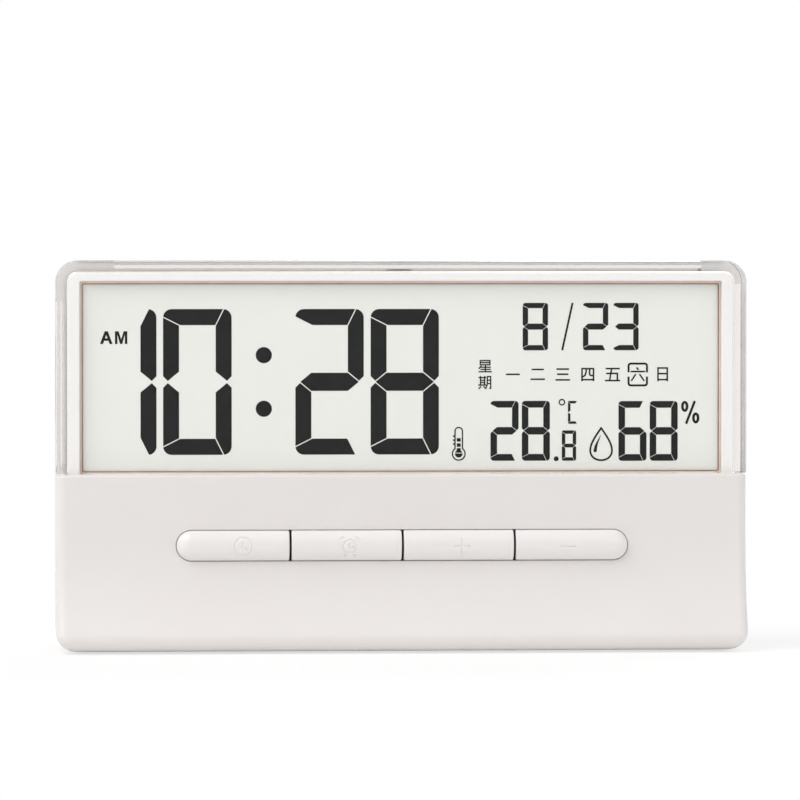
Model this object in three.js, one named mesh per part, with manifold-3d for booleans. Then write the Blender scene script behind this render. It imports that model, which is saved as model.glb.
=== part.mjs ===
import * as THREE from 'three';
import { mergeVertices } from 'three/addons/utils/BufferGeometryUtils.js';
import Module from 'manifold-3d';

// Digital alarm clock with a clear cover over its display, in millimetres.
// X runs to the viewer's right, Y to the rear and Z up. The origin is on the table, under the middle.

// Body, standing on its feet
const bodyWidth = 140;
const bodyDepth = 40;
const bodyHeight = 79.3;
const baseHeight = 36;
const topThickness = 20;
const partingDepth = 18.5;
const wall = 2.2;
const lipRound = 2.4;
const lowerCornerRound = 4;
const flareDepth = 5;
const flareHeight = 21.6;
const frontEdgeRound = 2;
const rearEdgeRound = 4;
const topCornerRound = 4.5;
const topRearRound = 3;
const bendHeight = 31.5;
const bendRadius = 15;
const leastRound = 0.2;

// Clearances
const seatGap = 0.1;
const touchGap = 0.3;
const holeGap = 0.3;
const overcut = 1;

// Rubber feet
const footProud = 0.5;
const footRadius = 3.5;
const footThickness = 1.4;
const footChamfer = 0.3;
const footInsetX = 14;
const footInsetFront = 13.5;
const footInsetRear = 8;

// Clear cover
const coverStep = 0.3;
const coverSheet = 2;
const coverWall = 2.2;
const coverFrontRound = 0.9;
const coverGap = 0.15;
const snapWidth = 5.5;
const snapLength = 1.5;
const snapHeight = 1.2;
const snapInset = 3;

// Display frame and the sandwich that it holds
const frameGap = 0.35;
const frameSheet = 1.2;
const frameWall = 1;
const frameRound = 2;
const frameDrop = 5;
const frameRearGap = 0.5;
const frameFloorDepth = 6;
const windowSide = 2.3;
const windowTop = 1.65;
const gasketLip = 0.65;
const gasketSheet = 0.4;
const filmSheet = 0.2;
const segmentRelief = 0.1;
const glassSheet = 1.1;
const glassGap = 0.2;
const contactLedge = 3;
const reflectorSheet = 0.2;
const backPlateSheet = 1.5;
const backPlateRibWidth = 4;
const backPlateRibHeight = 2;
const backPlateRibX = 40;
const zebraLength = 110;
const zebraHeight = 2.2;

// Bars of the display's numbers
const barGap = 0.2;
const barTip = 0.31;
const litBars = { 0: 'abcdef', 1: 'bc', 2: 'abged', 3: 'abgcd', 6: 'acdefg', 8: 'abcdefg' };
const timeBars = { width: 13.9, height: 29.6, stroke: 3.2, advance: 15.2 };
const dateBars = { width: 5.15, height: 9.6, stroke: 1.1, advance: 6.2 };
const climateBars = { width: 5.7, height: 12.1, stroke: 1.35, advance: 6.35 };
const tenthBars = { width: 2.9, height: 6.15, stroke: 0.7, advance: 3.5 };
const timeMargin = 1.2;
const minutesStep = 42.1;
const timeBottom = 3.2;
const colonStep = 35.7;
const colonRise = 14.8;
const colonSpread = 5.45;
const colonRadius = 1.65;
const monthMargin = 39.5;
const dayMargin = 27.3;
const dateBottom = 24.4;
const temperatureMargin = 46;
const tenthMargin = 31.5;
const humidityMargin = 20;
const climateBottom = 2;

// Keys and the switches behind them
const keyNames = ['time', 'alarm', 'plus', 'minus'];
const keyHeight = 6.1;
const keyRowLength = 91.4;
const keyPitch = 22.7;
const keyGap = 0.45;
const keySlotGap = 0.25;
const keyCrown = 2.2;
const keyCentreHeight = 21.7;
const keyFlangeSheet = 0.9;
const keyFlangeOver = 1.2;
const keyStemRadius = 1.7;
const keyTravel = 0.5;
const switchSize = 6;
const switchHeight = 3.4;
const plungerRadius = 1.6;
const plungerProud = 1.2;
const plungerSunk = 1.2;

// Circuit board and its parts
const boardWidth = 118;
const boardRise = 2;
const boardBottom = 13;
const boardSheet = 1.6;
const boardClear = 1.1;
const chipRadius = 6;
const chipHeight = 1.8;
const chipX = -8;
const chipRise = 11;
const crystalRadius = 1;
const crystalLength = 6;
const crystalX = 12;
const crystalRise = 18;
const buzzerRadius = 6;
const buzzerHeight = 6;
const buzzerHoleRadius = 1;
const buzzerX = 44;
const sensorWidth = 10;
const sensorHeight = 12;
const sensorDepth = 4;
const sensorX = -44;
const climateRise = 11;

// Screws: four for the case and four for the board
const caseScrewShank = 1.2;
const caseScrewHead = 2.3;
const caseScrewHeadHeight = 1.6;
const caseScrewLength = 8.5;
const caseScrewSeat = 4;
const caseBossWall = 1.3;
const lowerBossInset = 7;
const lowerBossHeight = 10;
const upperBossDrop = 9.3;
const boardScrewShank = 0.9;
const boardScrewHead = 2;
const boardScrewHeadHeight = 1.3;
const boardScrewLength = 7;
const boardBossRadius = 2.6;
const boardScrewInsetX = 5;
const boardBossGap = 0.4;
const boardScrewInsetBottom = 3.5;
const pilotExtra = 1;
const crossWidth = 0.6;
const crossDepth = 0.8;

// Two AAA cells, their contacts and their bay
const cellRadius = 5.25;
const cellLength = 44.5;
const nubRadius = 1.9;
const nubLength = 1;
const cellGap = 0.5;
const cellSpacing = 0.8;
const bayWall = 1.6;
const contactSheet = 0.4;
const contactWidth = 8;
const contactTabWidth = 2;
const contactTabProud = 1.5;
const springWire = 0.6;
const springRadius = 2.6;
const springLength = 6;
const springTurns = 4;
const leadRadius = 0.6;
const leadReach = 7;

// Battery door, which swings out on two pins at its foot
const doorSheet = 1.7;
const doorLip = 1.3;
const doorGap = 0.3;
const doorFootGap = 0.5;
const doorSeatGap = 0.2;
const doorPinRadius = 0.45;
const doorPinLength = 1;
const doorPinInset = 1.1;
const latchWidth = 12;
const latchLength = 8;
const latchSlit = 0.8;
const latchBar = 1.6;
const latchSink = 0.8;

// Slots in the back for the buzzer and for the climate sensor
const ventCount = 6;
const ventPitch = 3.2;
const ventWidth = 1.5;
const ventHeight = 13;

// Steps of round stretches
const cornerSteps = 5;
const flareSteps = 6;
const rodSides = 16;
const screwSides = 10;
const domeSteps = 6;
const chipSteps = 4;
const curlSteps = 8;
const wireSides = 5;
const leadSides = 8;
const leadSteps = 10;
const mergeDistance = 1e-4;

// Planes and levels that the pieces share
const halfWidth = bodyWidth / 2;
const lipY = -bodyDepth / 2;
const backY = bodyDepth / 2;
const panelY = lipY + flareDepth;
const panelBackY = panelY + wall;
const partY = lipY + partingDepth;
const underside = footProud;
const lipTop = underside + lipRound;
const flareTop = lipTop + flareHeight;
const flareRadius = (flareHeight ** 2 + (flareDepth - lipRound) ** 2 - lipRound ** 2) / (2 * flareDepth);
const flareLow = lipTop + lipRound * flareHeight / (flareRadius + lipRound);
const lean = Math.atan2(backY - panelY - topThickness, bodyHeight - bendHeight);
const bendReach = bendRadius * Math.tan(lean / 2);
const bendStart = bendHeight - bendReach;
const bendEnd = bendHeight + bendReach * Math.cos(lean);

const coverFrontY = panelY + coverStep;
const coverRearY = partY - coverGap;
const coverBottom = baseHeight + coverGap;
const frameHalf = halfWidth - Math.max(wall, coverWall) - frameGap;
const frameTop = bodyHeight - coverWall - frameGap;
const frameBottom = baseHeight - frameDrop;
const frameFrontY = coverFrontY + coverSheet + touchGap;
const frameRearY = partY - frameRearGap;
const frameSheetY = frameFrontY + frameSheet;
const windowHalf = frameHalf - windowSide;
const windowHigh = frameTop - windowTop;
const glassHalf = frameHalf - frameWall - glassGap;
const glassHigh = frameTop - frameWall - glassGap;
const glassLow = frameBottom + frameWall + glassGap;
const rearGlassLow = glassLow + contactLedge;
const gasketY = frameSheetY + seatGap;
const filmY = gasketY + gasketSheet + seatGap;
const frontGlassY = filmY + filmSheet + seatGap;
const rearGlassY = frontGlassY + glassSheet + seatGap;
const reflectorY = rearGlassY + glassSheet + seatGap;
const backPlateY = reflectorY + reflectorSheet + seatGap;
const boardFrontY = backPlateY + backPlateSheet + boardClear;
const boardBackY = boardFrontY + boardSheet;
const boardTop = baseHeight + boardRise;

const caseHoleRadius = caseScrewShank + holeGap;
const caseBossRadius = caseHoleRadius + caseBossWall;
const sinkRadius = caseScrewHead + holeGap;
const sinkBossRadius = sinkRadius + caseBossWall;
const caseSeatY = partY + caseScrewSeat;
const caseTipY = caseSeatY + seatGap - caseScrewLength;
const lowerBossX = halfWidth - lowerBossInset;
const upperBossX = frameHalf - frameWall - caseBossRadius + seatGap;
const upperBossZ = bodyHeight - upperBossDrop;
const boardScrewX = boardWidth / 2 - boardScrewInsetX;
const boardScrewHeights = [
  boardBottom + boardScrewInsetBottom,
  frameBottom - boardBossRadius - boardBossGap,
];
const boardHoleRadius = boardScrewShank + holeGap;

const doorInnerY = backY - doorSheet;
const doorLedgeY = doorInnerY - doorSeatGap;
const cellY = doorLedgeY - cellGap - cellRadius;
const bayFloorY = cellY - cellRadius - cellGap;
const bayBottom = underside + wall + bayWall;
const lowerCellZ = bayBottom + cellGap + cellRadius;
const upperCellZ = lowerCellZ + 2 * cellRadius + cellSpacing;
const bayTop = upperCellZ + cellRadius + cellGap;
const bayHalf = (cellLength + springLength + 2 * contactSheet + 2 * seatGap + 3 * touchGap) / 2;
const contactX = bayHalf - seatGap - contactSheet / 2;
const contactTabY = bayFloorY - bayWall - contactTabProud;
const recessHalf = bayHalf + doorLip;
const recessBottom = bayBottom - doorLip;
const recessTop = bayTop + doorLip;
const doorPinY = backY - doorPinInset;
const doorPinZ = recessBottom + doorFootGap + doorSheet / 2;

// Solids and cuts
const wasm = await Module();
wasm.setup();

// A closed geometry as a solid with its faces pointing out.
function solidOf(geometry) {
  const bare = geometry.clone();
  bare.deleteAttribute('normal');
  bare.deleteAttribute('uv');
  const merged = mergeVertices(bare, mergeDistance);
  const points = merged.attributes.position;
  const corners = merged.index.array;
  const [a, b, c] = [new THREE.Vector3(), new THREE.Vector3(), new THREE.Vector3()];
  const triangles = [];
  let volume = 0;
  for (let i = 0; i < corners.length; i += 3) {
    const [p, q, r] = corners.slice(i, i + 3);
    if (p === q || q === r || r === p) continue;
    a.fromBufferAttribute(points, p);
    b.fromBufferAttribute(points, q);
    c.fromBufferAttribute(points, r);
    volume += a.dot(b.cross(c));
    triangles.push([p, q, r]);
  }
  const outward = volume > 0 ? triangles : triangles.map(([p, q, r]) => [p, r, q]);
  return new wasm.Manifold(new wasm.Mesh({
    numProp: 3,
    vertProperties: new Float32Array(points.array),
    triVerts: new Uint32Array(outward.flat()),
  }));
}

function geometryOf(solid) {
  const mesh = solid.getMesh();
  const geometry = new THREE.BufferGeometry();
  geometry.setAttribute('position', new THREE.BufferAttribute(mesh.vertProperties.slice(), 3));
  geometry.setIndex(new THREE.BufferAttribute(mesh.triVerts.slice(), 1));
  geometry.computeVertexNormals();
  return geometry;
}

function block(x0, x1, y0, y1, z0, z1) {
  const box = new THREE.BoxGeometry(x1 - x0, y1 - y0, z1 - z0);
  return solidOf(box.translate((x0 + x1) / 2, (y0 + y1) / 2, (z0 + z1) / 2));
}

// A round bar along Y.
function rod(radius, y0, y1, x, z) {
  const cylinder = new THREE.CylinderGeometry(radius, radius, y1 - y0, rodSides);
  return solidOf(cylinder.translate(x, (y0 + y1) / 2, z));
}

// A round bar along X.
function crossRod(radius, x0, x1, y, z) {
  const cylinder = new THREE.CylinderGeometry(radius, radius, x1 - x0, rodSides).rotateZ(Math.PI / 2);
  return solidOf(cylinder.translate((x0 + x1) / 2, y, z));
}

// A turned piece about the Y axis from [radius, y] points.
function turned(profile, count = rodSides) {
  return solidOf(new THREE.LatheGeometry(profile.map(([r, y]) => new THREE.Vector2(r, y)), count));
}

// An outline in X and Z, given thickness along Y.
function slab(outline, y0, y1) {
  const options = { depth: y1 - y0, bevelEnabled: false, curveSegments: cornerSteps };
  return solidOf(new THREE.ExtrudeGeometry(outline, options).rotateX(Math.PI / 2).translate(0, y1, 0));
}

// An outline in Y and Z, given length along X.
function bar(outline, x0, x1) {
  const options = { depth: x1 - x0, bevelEnabled: false, curveSegments: cornerSteps };
  const turn = new THREE.Matrix4().makeBasis(
    new THREE.Vector3(0, 1, 0),
    new THREE.Vector3(0, 0, 1),
    new THREE.Vector3(1, 0, 0),
  );
  return solidOf(new THREE.ExtrudeGeometry(outline, options).applyMatrix4(turn).translate(x0, 0, 0));
}

function polygon(points) {
  return new THREE.Shape(points.map(([x, y]) => new THREE.Vector2(x, y)));
}

function join(solids) {
  return solids.reduce((whole, part) => whole.add(part));
}

// Points round a four-cornered outline. Each corner is its arc's centre, radius and starting angle.
function cornerPoints(corners) {
  const points = [];
  for (const [u, v, radius, start] of corners) {
    const steps = radius > 0 ? cornerSteps : 0;
    for (let i = 0; i <= steps; i++) {
      const angle = start + (steps > 0 ? (Math.PI / 2) * (i / steps) : 0);
      points.push([u + radius * Math.cos(angle), v + radius * Math.sin(angle)]);
    }
  }
  return points;
}

// A skin over rings of equally many points, closed at both ends.
function loft(rings) {
  const count = rings[0].length;
  const points = rings.flat();
  const faces = [];
  for (let r = 0; r + 1 < rings.length; r++) {
    for (let i = 0; i < count; i++) {
      const a = r * count + i;
      const b = r * count + (i + 1) % count;
      faces.push(a, b, b + count, a, b + count, a + count);
    }
  }
  const last = (rings.length - 1) * count;
  for (let i = 1; i + 1 < count; i++) {
    faces.push(0, i + 1, i, last, last + i, last + i + 1);
  }
  const geometry = new THREE.BufferGeometry().setFromPoints(points);
  geometry.setIndex(faces);
  return solidOf(geometry);
}

// How far a rounded edge draws in at some distance from the face where it ends.
function drawIn(distance, radius) {
  return distance >= radius ? 0 : radius - Math.sqrt(radius ** 2 - (radius - distance) ** 2);
}

// Levels that follow a round from its end at 0 to its radius.
function roundLevels(radius) {
  return Array.from({ length: cornerSteps + 1 }, (_, i) => (
    radius * (1 - Math.cos((Math.PI / 2) * (i / cornerSteps)))
  ));
}

function planRing(z, half, frontY, rearY, frontRadius, rearRadius) {
  const corners = [
    [-half + frontRadius, frontY + frontRadius, frontRadius, Math.PI],
    [half - frontRadius, frontY + frontRadius, frontRadius, 1.5 * Math.PI],
    [half - rearRadius, rearY - rearRadius, rearRadius, 0],
    [-half + rearRadius, rearY - rearRadius, rearRadius, 0.5 * Math.PI],
  ];
  return cornerPoints(corners).map(([x, y]) => new THREE.Vector3(x, y, z));
}

// Front panel: upright at the top, then sweeping forward into the round of the lip.
function panelFace(z) {
  if (z < flareLow) {
    const rise = Math.max(z - lipTop, 0);
    return lipY + lipRound - Math.sqrt(lipRound ** 2 - rise ** 2);
  }
  const drop = Math.max(flareTop - z, 0);
  return panelY - flareRadius + Math.sqrt(flareRadius ** 2 - drop ** 2);
}

// Back: upright over the battery bay, then leaning forward to the top.
function backFace(z) {
  if (z <= bendStart) return backY;
  if (z < bendEnd) return backY - bendRadius + Math.sqrt(bendRadius ** 2 - (z - bendStart) ** 2);
  return backY - Math.tan(lean) * (z - bendHeight);
}

// Front half of the base, or its hollow when inset by the wall.
function baseFront(inset) {
  const low = underside + inset;
  const high = inset > 0 ? baseHeight + overcut : baseHeight;
  const rear = inset > 0 ? partY + overcut : partY - seatGap;
  const foot = Math.max(lipRound - inset, leastRound);
  const corner = Math.max(lowerCornerRound - inset, leastRound);
  const edge = Math.max(frontEdgeRound - inset, leastRound);
  const flare = Array.from({ length: flareSteps }, (_, i) => (
    low + corner + (flareTop - low - corner) * ((i + 1) / flareSteps)
  ));
  const levels = [...roundLevels(corner).map((rise) => low + rise), ...flare, high];
  return loft(levels.map((z) => {
    const half = halfWidth - inset - drawIn(z - low, corner);
    const front = panelFace(z) + inset + drawIn(z - low, foot);
    return planRing(z, half, front, rear, edge, 0);
  }));
}

// Rear half of the clock, or its hollow when inset by the wall.
function rearHalf(inset) {
  const low = underside + inset;
  const high = bodyHeight - inset;
  const front = inset > 0 ? partY - overcut : partY;
  const foot = Math.max(lipRound - inset, leastRound);
  const corner = Math.max(lowerCornerRound - inset, leastRound);
  const edge = Math.max(rearEdgeRound - inset, leastRound);
  const crown = Math.max(topCornerRound - inset, leastRound);
  const brow = Math.max(topRearRound - inset, leastRound);
  const bend = Array.from({ length: cornerSteps + 1 }, (_, i) => (
    bendStart + (bendEnd - bendStart) * (i / cornerSteps)
  ));
  const levels = [
    ...roundLevels(corner).map((rise) => low + rise),
    ...bend,
    ...roundLevels(crown).map((drop) => high - drop).reverse(),
  ];
  return loft(levels.map((z) => {
    const half = halfWidth - inset - drawIn(z - low, corner) - drawIn(high - z, crown);
    const rear = backFace(z) - inset - drawIn(z - low, foot) - drawIn(high - z, brow);
    return planRing(z, half, front, rear, 0, edge);
  }));
}

const finish = (color, roughness, metalness = 0) => (
  new THREE.MeshStandardMaterial({ color, roughness, metalness })
);
const whitePlastic = finish(0xe9e6e2, 0.45);
const clearPlastic = finish(0xeef2f2, 0.05);
const framePlastic = finish(0xf2f0ed, 0.5);
const keyPlastic = finish(0xeeebe7, 0.4);
const gasketFoam = finish(0xb3a297, 0.9);
const displayFilm = finish(0xe6e7e0, 0.6);
const glass = finish(0xdfe8e2, 0.05);
const reflectorFoil = finish(0xc9cac6, 0.3, 0.8);
const zebraRubber = finish(0xd98f9c, 0.8);
const boardResin = finish(0x2f6b45, 0.5);
const chipEpoxy = finish(0x17181a, 0.4);
const steel = finish(0xb9bcc0, 0.35, 1);
const nickel = finish(0xd0d1cd, 0.3, 1);
const blackPlastic = finish(0x222326, 0.55);
const sensorPlastic = finish(0xdfe3e6, 0.6);
const cellJacket = finish(0x4a5560, 0.4);
const redLeadPlastic = finish(0xb3261e, 0.5);
const blackLeadPlastic = finish(0x1c1c1e, 0.5);
const footRubber = finish(0xcfccc7, 0.9);

const clock = new THREE.Group();
const housing = new THREE.Group();
const display = new THREE.Group();
const keypad = new THREE.Group();
const electronics = new THREE.Group();
const battery = new THREE.Group();
clock.add(housing, display, keypad, electronics, battery);

function addPiece(group, name, geometry, material) {
  const mesh = new THREE.Mesh(geometry, material);
  mesh.name = name;
  group.add(mesh);
  return mesh;
}

function addSolid(group, name, solid, material) {
  return addPiece(group, name, geometryOf(solid), material);
}

// Places of the repeated pieces
const sides = [-1, 1];
const footPlaces = sides.flatMap((side) => [
  [side * (halfWidth - footInsetX), lipY + footInsetFront],
  [side * (halfWidth - footInsetX), backY - footInsetRear],
]);
const lowerBosses = sides.map((side) => [side * lowerBossX, lowerBossHeight]);
const upperBosses = sides.map((side) => [side * upperBossX, upperBossZ]);
const boardScrews = sides.flatMap((side) => boardScrewHeights.map((z) => [side * boardScrewX, z]));

// Rubber feet in shallow round recesses
const footSocketTop = footThickness + seatGap;
const footSocketRadius = footRadius + holeGap;
const footSocket = join(footPlaces.map(([x, y]) => (
  rod(footSocketRadius, -footSocketTop, footSocketTop, 0, 0).rotate([90, 0, 0]).translate([x, y, 0])
)));
const footGeometry = geometryOf(turned([
  [0, 0],
  [footRadius - footChamfer, 0],
  [footRadius, footChamfer],
  [footRadius, footThickness],
  [0, footThickness],
])).rotateX(Math.PI / 2);
footPlaces.forEach(([x, y], i) => {
  addPiece(housing, `rubber_foot_${i + 1}`, footGeometry, footRubber).position.set(x, y, 0);
});

// Front housing: the white base panel with the key slot, and bosses for the case and the board
function pillOutline(length, height, z) {
  const reach = (length - height) / 2;
  const outline = new THREE.Shape();
  outline.absarc(reach, z, height / 2, -Math.PI / 2, Math.PI / 2, false);
  outline.absarc(-reach, z, height / 2, Math.PI / 2, 1.5 * Math.PI, false);
  return outline;
}
const baseSolid = baseFront(0);
const boardBosses = boardScrews.map(([x, z]) => rod(boardBossRadius, lipY, boardFrontY - seatGap, x, z));
const boardPilots = boardScrews.map(([x, z]) => (
  rod(boardHoleRadius, boardBackY - boardScrewLength - pilotExtra, boardFrontY + overcut, x, z)
));
const frontBosses = lowerBosses.map(([x, z]) => rod(caseBossRadius, lipY, partY - seatGap, x, z));
const frontPilots = lowerBosses.map(([x, z]) => (
  rod(caseHoleRadius, caseTipY - pilotExtra, partY + overcut, x, z)
));
const keySlot = slab(
  pillOutline(keyRowLength + 2 * keySlotGap, keyHeight + 2 * keySlotGap, keyCentreHeight),
  lipY - overcut,
  panelBackY + overcut,
);
const frontHousing = baseSolid
  .subtract(baseFront(wall))
  .add(join([...boardBosses, ...frontBosses]).intersect(baseSolid))
  .subtract(join([...boardPilots, ...frontPilots, keySlot, footSocket]));
addSolid(housing, 'front_housing', frontHousing, whitePlastic);

// Rear housing: back shell with the battery bay, sunk screw holes and two rows of slots
const rearSolid = rearHalf(0);
const caseBosses = [...lowerBosses, ...upperBosses];
const sinkBosses = caseBosses.map(([x, z]) => rod(sinkBossRadius, partY, backY, x, z));
const sinks = caseBosses.map(([x, z]) => (
  rod(sinkRadius, caseSeatY, backY + overcut, x, z)
    .add(rod(caseHoleRadius, partY - overcut, caseSeatY + overcut, x, z))
));
const bayShell = block(
  -bayHalf - bayWall,
  bayHalf + bayWall,
  bayFloorY - bayWall,
  backY,
  underside,
  bayTop + bayWall,
);
const bayHollow = block(-bayHalf, bayHalf, bayFloorY, backY + overcut, bayBottom, bayTop);
const doorRecess = block(-recessHalf, recessHalf, doorLedgeY, backY + overcut, recessBottom, recessTop);
const doorPinReach = recessHalf + doorPinLength + holeGap;
const doorPinHole = crossRod(doorPinRadius + holeGap, -doorPinReach, doorPinReach, doorPinY, doorPinZ);
const tabSlots = [lowerCellZ, upperCellZ].map((z) => block(
  contactX - contactSheet / 2 - holeGap,
  bayHalf,
  bayFloorY - bayWall - overcut,
  bayFloorY + overcut,
  z - contactTabWidth / 2 - holeGap,
  z + contactTabWidth / 2 + holeGap,
));
const vents = [buzzerX, sensorX].flatMap((x) => Array.from({ length: ventCount }, (_, i) => {
  const centre = x + (i - (ventCount - 1) / 2) * ventPitch;
  const height = boardBottom + climateRise;
  return block(
    centre - ventWidth / 2,
    centre + ventWidth / 2,
    backY - wall - overcut,
    backY + overcut,
    height - ventHeight / 2,
    height + ventHeight / 2,
  );
}));
const rearHousing = rearSolid
  .subtract(rearHalf(wall))
  .add(join([...sinkBosses, bayShell]).intersect(rearSolid))
  .subtract(join([...sinks, bayHollow, doorRecess, doorPinHole, ...tabSlots, ...vents, footSocket]));
addSolid(housing, 'rear_housing', rearHousing, whitePlastic);

// Clear cover: a tray over the display with its own top and side walls, held by a snap at the top
function coverRing(y, inset, low, round) {
  const half = halfWidth - inset;
  const high = bodyHeight - inset;
  const corners = [
    [-half, low, 0, 0],
    [half, low, 0, 0],
    [half - round, high - round, round, 0],
    [-half + round, high - round, round, 0.5 * Math.PI],
  ];
  return cornerPoints(corners).map(([x, z]) => new THREE.Vector3(x, y, z));
}
const coverOuter = loft([
  ...roundLevels(coverFrontRound).map((rise) => {
    const draw = drawIn(rise, coverFrontRound);
    return coverRing(coverFrontY + rise, draw, coverBottom, topCornerRound - draw);
  }),
  coverRing(coverRearY, 0, coverBottom, topCornerRound),
]);
const coverInnerRound = Math.max(topCornerRound - coverWall, leastRound);
const coverHollow = loft([
  coverRing(coverFrontY + coverSheet, coverWall, coverBottom - overcut, coverInnerRound),
  coverRing(coverRearY + overcut, coverWall, coverBottom - overcut, coverInnerRound),
]);
const snapRearY = coverRearY - snapInset;
const coverSnap = block(
  -snapWidth / 2,
  snapWidth / 2,
  snapRearY - snapLength,
  snapRearY,
  bodyHeight - coverWall - snapHeight,
  bodyHeight - coverWall / 2,
);
addSolid(housing, 'clear_cover', coverOuter.subtract(coverHollow).add(coverSnap), clearPlastic);

// Display frame: a white tray whose window shows the display, with bosses for the upper case screws
function frameOutline(inset, low, round) {
  const half = frameHalf - inset;
  const high = frameTop - inset;
  const corners = [
    [-half, low, 0, 0],
    [half, low, 0, 0],
    [half - round, high - round, round, 0],
    [-half + round, high - round, round, 0.5 * Math.PI],
  ];
  return polygon(cornerPoints(corners));
}
const frameHollow = frameOutline(frameWall, frameBottom + frameWall, leastRound);
const frameWindow = block(
  -windowHalf,
  windowHalf,
  frameFrontY - overcut,
  frameSheetY + overcut,
  baseHeight,
  windowHigh,
);
const frameBelly = block(
  -frameHalf + frameWall,
  frameHalf - frameWall,
  frameFrontY + frameFloorDepth,
  frameRearY + overcut,
  frameBottom - overcut,
  frameBottom + frameWall + overcut,
);
const snapSlot = block(
  -snapWidth / 2 - holeGap,
  snapWidth / 2 + holeGap,
  snapRearY - snapLength - holeGap,
  snapRearY + holeGap,
  frameTop - frameWall - overcut,
  frameTop + overcut,
);
const frameBossY = reflectorY + reflectorSheet + touchGap;
const frameBosses = upperBosses.map(([x, z]) => rod(caseBossRadius, frameBossY, frameRearY, x, z));
const framePilots = upperBosses.map(([x, z]) => (
  rod(caseHoleRadius, caseTipY - pilotExtra, frameRearY + overcut, x, z)
));
const lcdFrame = slab(frameOutline(0, frameBottom, frameRound), frameFrontY, frameRearY)
  .subtract(slab(frameHollow, frameSheetY, frameRearY + overcut))
  .subtract(join([frameWindow, frameBelly, snapSlot]))
  .add(join(frameBosses))
  .subtract(join(framePilots));
addSolid(display, 'lcd_frame', lcdFrame, framePlastic);

// Display sandwich: gasket, film with the numbers, two sheets of glass, reflector and back plate
function sheet(half, y, thickness, low, high) {
  return block(-half, half, y, y + thickness, low, high);
}
const filmHalf = windowHalf - gasketLip;
const filmLow = baseHeight + gasketLip;
const gasketOpening = block(
  -filmHalf,
  filmHalf,
  gasketY - overcut,
  gasketY + gasketSheet + overcut,
  filmLow,
  windowHigh - gasketLip,
);
const gasket = sheet(glassHalf, gasketY, gasketSheet, rearGlassLow, glassHigh).subtract(gasketOpening);
addSolid(display, 'lcd_gasket', gasket, gasketFoam);

// The seven bars of one number, with its lower left corner at the origin
function barOutlines({ width, height, stroke }) {
  const middle = height / 2;
  const tip = barTip * stroke;
  const top = [
    [barGap, height],
    [width - barGap, height],
    [width - stroke - barGap, height - stroke],
    [stroke + barGap, height - stroke],
  ];
  const upright = [
    [0, height - barGap],
    [stroke, height - stroke - barGap],
    [stroke, middle + stroke / 2 + barGap],
    [tip, middle + barGap],
    [0, middle + tip + barGap],
  ];
  const centre = [
    [tip + barGap, middle],
    [stroke, middle + stroke / 2],
    [width - stroke, middle + stroke / 2],
    [width - tip - barGap, middle],
    [width - stroke, middle - stroke / 2],
    [stroke, middle - stroke / 2],
  ];
  const mirrored = (points) => points.map(([x, z]) => [width - x, z]);
  const dropped = (points) => points.map(([x, z]) => [x, height - z]);
  return {
    a: top,
    b: mirrored(upright),
    c: mirrored(dropped(upright)),
    d: dropped(top),
    e: dropped(upright),
    f: upright,
    g: centre,
  };
}
const reliefY = filmY - segmentRelief;
const reliefRootY = filmY + filmSheet / 2;
function numberBars(text, size, left, bottom) {
  const outlines = barOutlines(size);
  return [...text].flatMap((character, i) => [...litBars[character]].map((name) => {
    const points = outlines[name].map(([x, z]) => [left + i * size.advance + x, bottom + z]);
    return slab(polygon(points), reliefY, reliefRootY);
  }));
}
const timeLeft = timeMargin - filmHalf;
const colonDots = sides.map((side) => rod(
  colonRadius,
  reliefY,
  reliefRootY,
  timeLeft + colonStep,
  filmLow + timeBottom + colonRise + side * colonSpread,
));
const numbers = [
  ...numberBars('10', timeBars, timeLeft, filmLow + timeBottom),
  ...colonDots,
  ...numberBars('28', timeBars, timeLeft + minutesStep, filmLow + timeBottom),
  ...numberBars('8', dateBars, filmHalf - monthMargin, filmLow + dateBottom),
  ...numberBars('23', dateBars, filmHalf - dayMargin, filmLow + dateBottom),
  ...numberBars('28', climateBars, filmHalf - temperatureMargin, filmLow + climateBottom),
  ...numberBars('8', tenthBars, filmHalf - tenthMargin, filmLow + climateBottom),
  ...numberBars('68', climateBars, filmHalf - humidityMargin, filmLow + climateBottom),
];
const filmFace = block(
  -filmHalf + glassGap,
  filmHalf - glassGap,
  reliefY,
  filmY + filmSheet,
  filmLow + glassGap,
  windowHigh - gasketLip - glassGap,
);
const plainFilm = sheet(glassHalf, filmY, filmSheet, rearGlassLow, glassHigh);
addSolid(display, 'lcd_film', plainFilm.add(join(numbers).intersect(filmFace)), displayFilm);
const frontGlass = sheet(glassHalf, frontGlassY, glassSheet, glassLow, glassHigh);
addSolid(display, 'lcd_front_glass', frontGlass, glass);
const rearGlass = sheet(glassHalf, rearGlassY, glassSheet, rearGlassLow, glassHigh);
addSolid(display, 'lcd_rear_glass', rearGlass, glass);
const reflector = sheet(glassHalf, reflectorY, reflectorSheet, rearGlassLow, glassHigh);
addSolid(display, 'lcd_reflector', reflector, reflectorFoil);
const backPlateHalf = upperBossX - caseBossRadius - touchGap;
const backPlateRibs = sides.map((side) => block(
  side * backPlateRibX - backPlateRibWidth / 2,
  side * backPlateRibX + backPlateRibWidth / 2,
  backPlateY + backPlateSheet / 2,
  boardFrontY - seatGap,
  rearGlassLow,
  rearGlassLow + backPlateRibHeight,
));
const backPlate = sheet(backPlateHalf, backPlateY, backPlateSheet, rearGlassLow, glassHigh);
addSolid(display, 'lcd_back_plate', backPlate.add(join(backPlateRibs)), framePlastic);
const zebraZ = glassLow + contactLedge / 2;
const zebra = block(
  -zebraLength / 2,
  zebraLength / 2,
  frontGlassY + glassSheet + seatGap,
  boardFrontY - seatGap,
  zebraZ - zebraHeight / 2,
  zebraZ + zebraHeight / 2,
);
addSolid(display, 'zebra_strip', zebra, zebraRubber);

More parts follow.
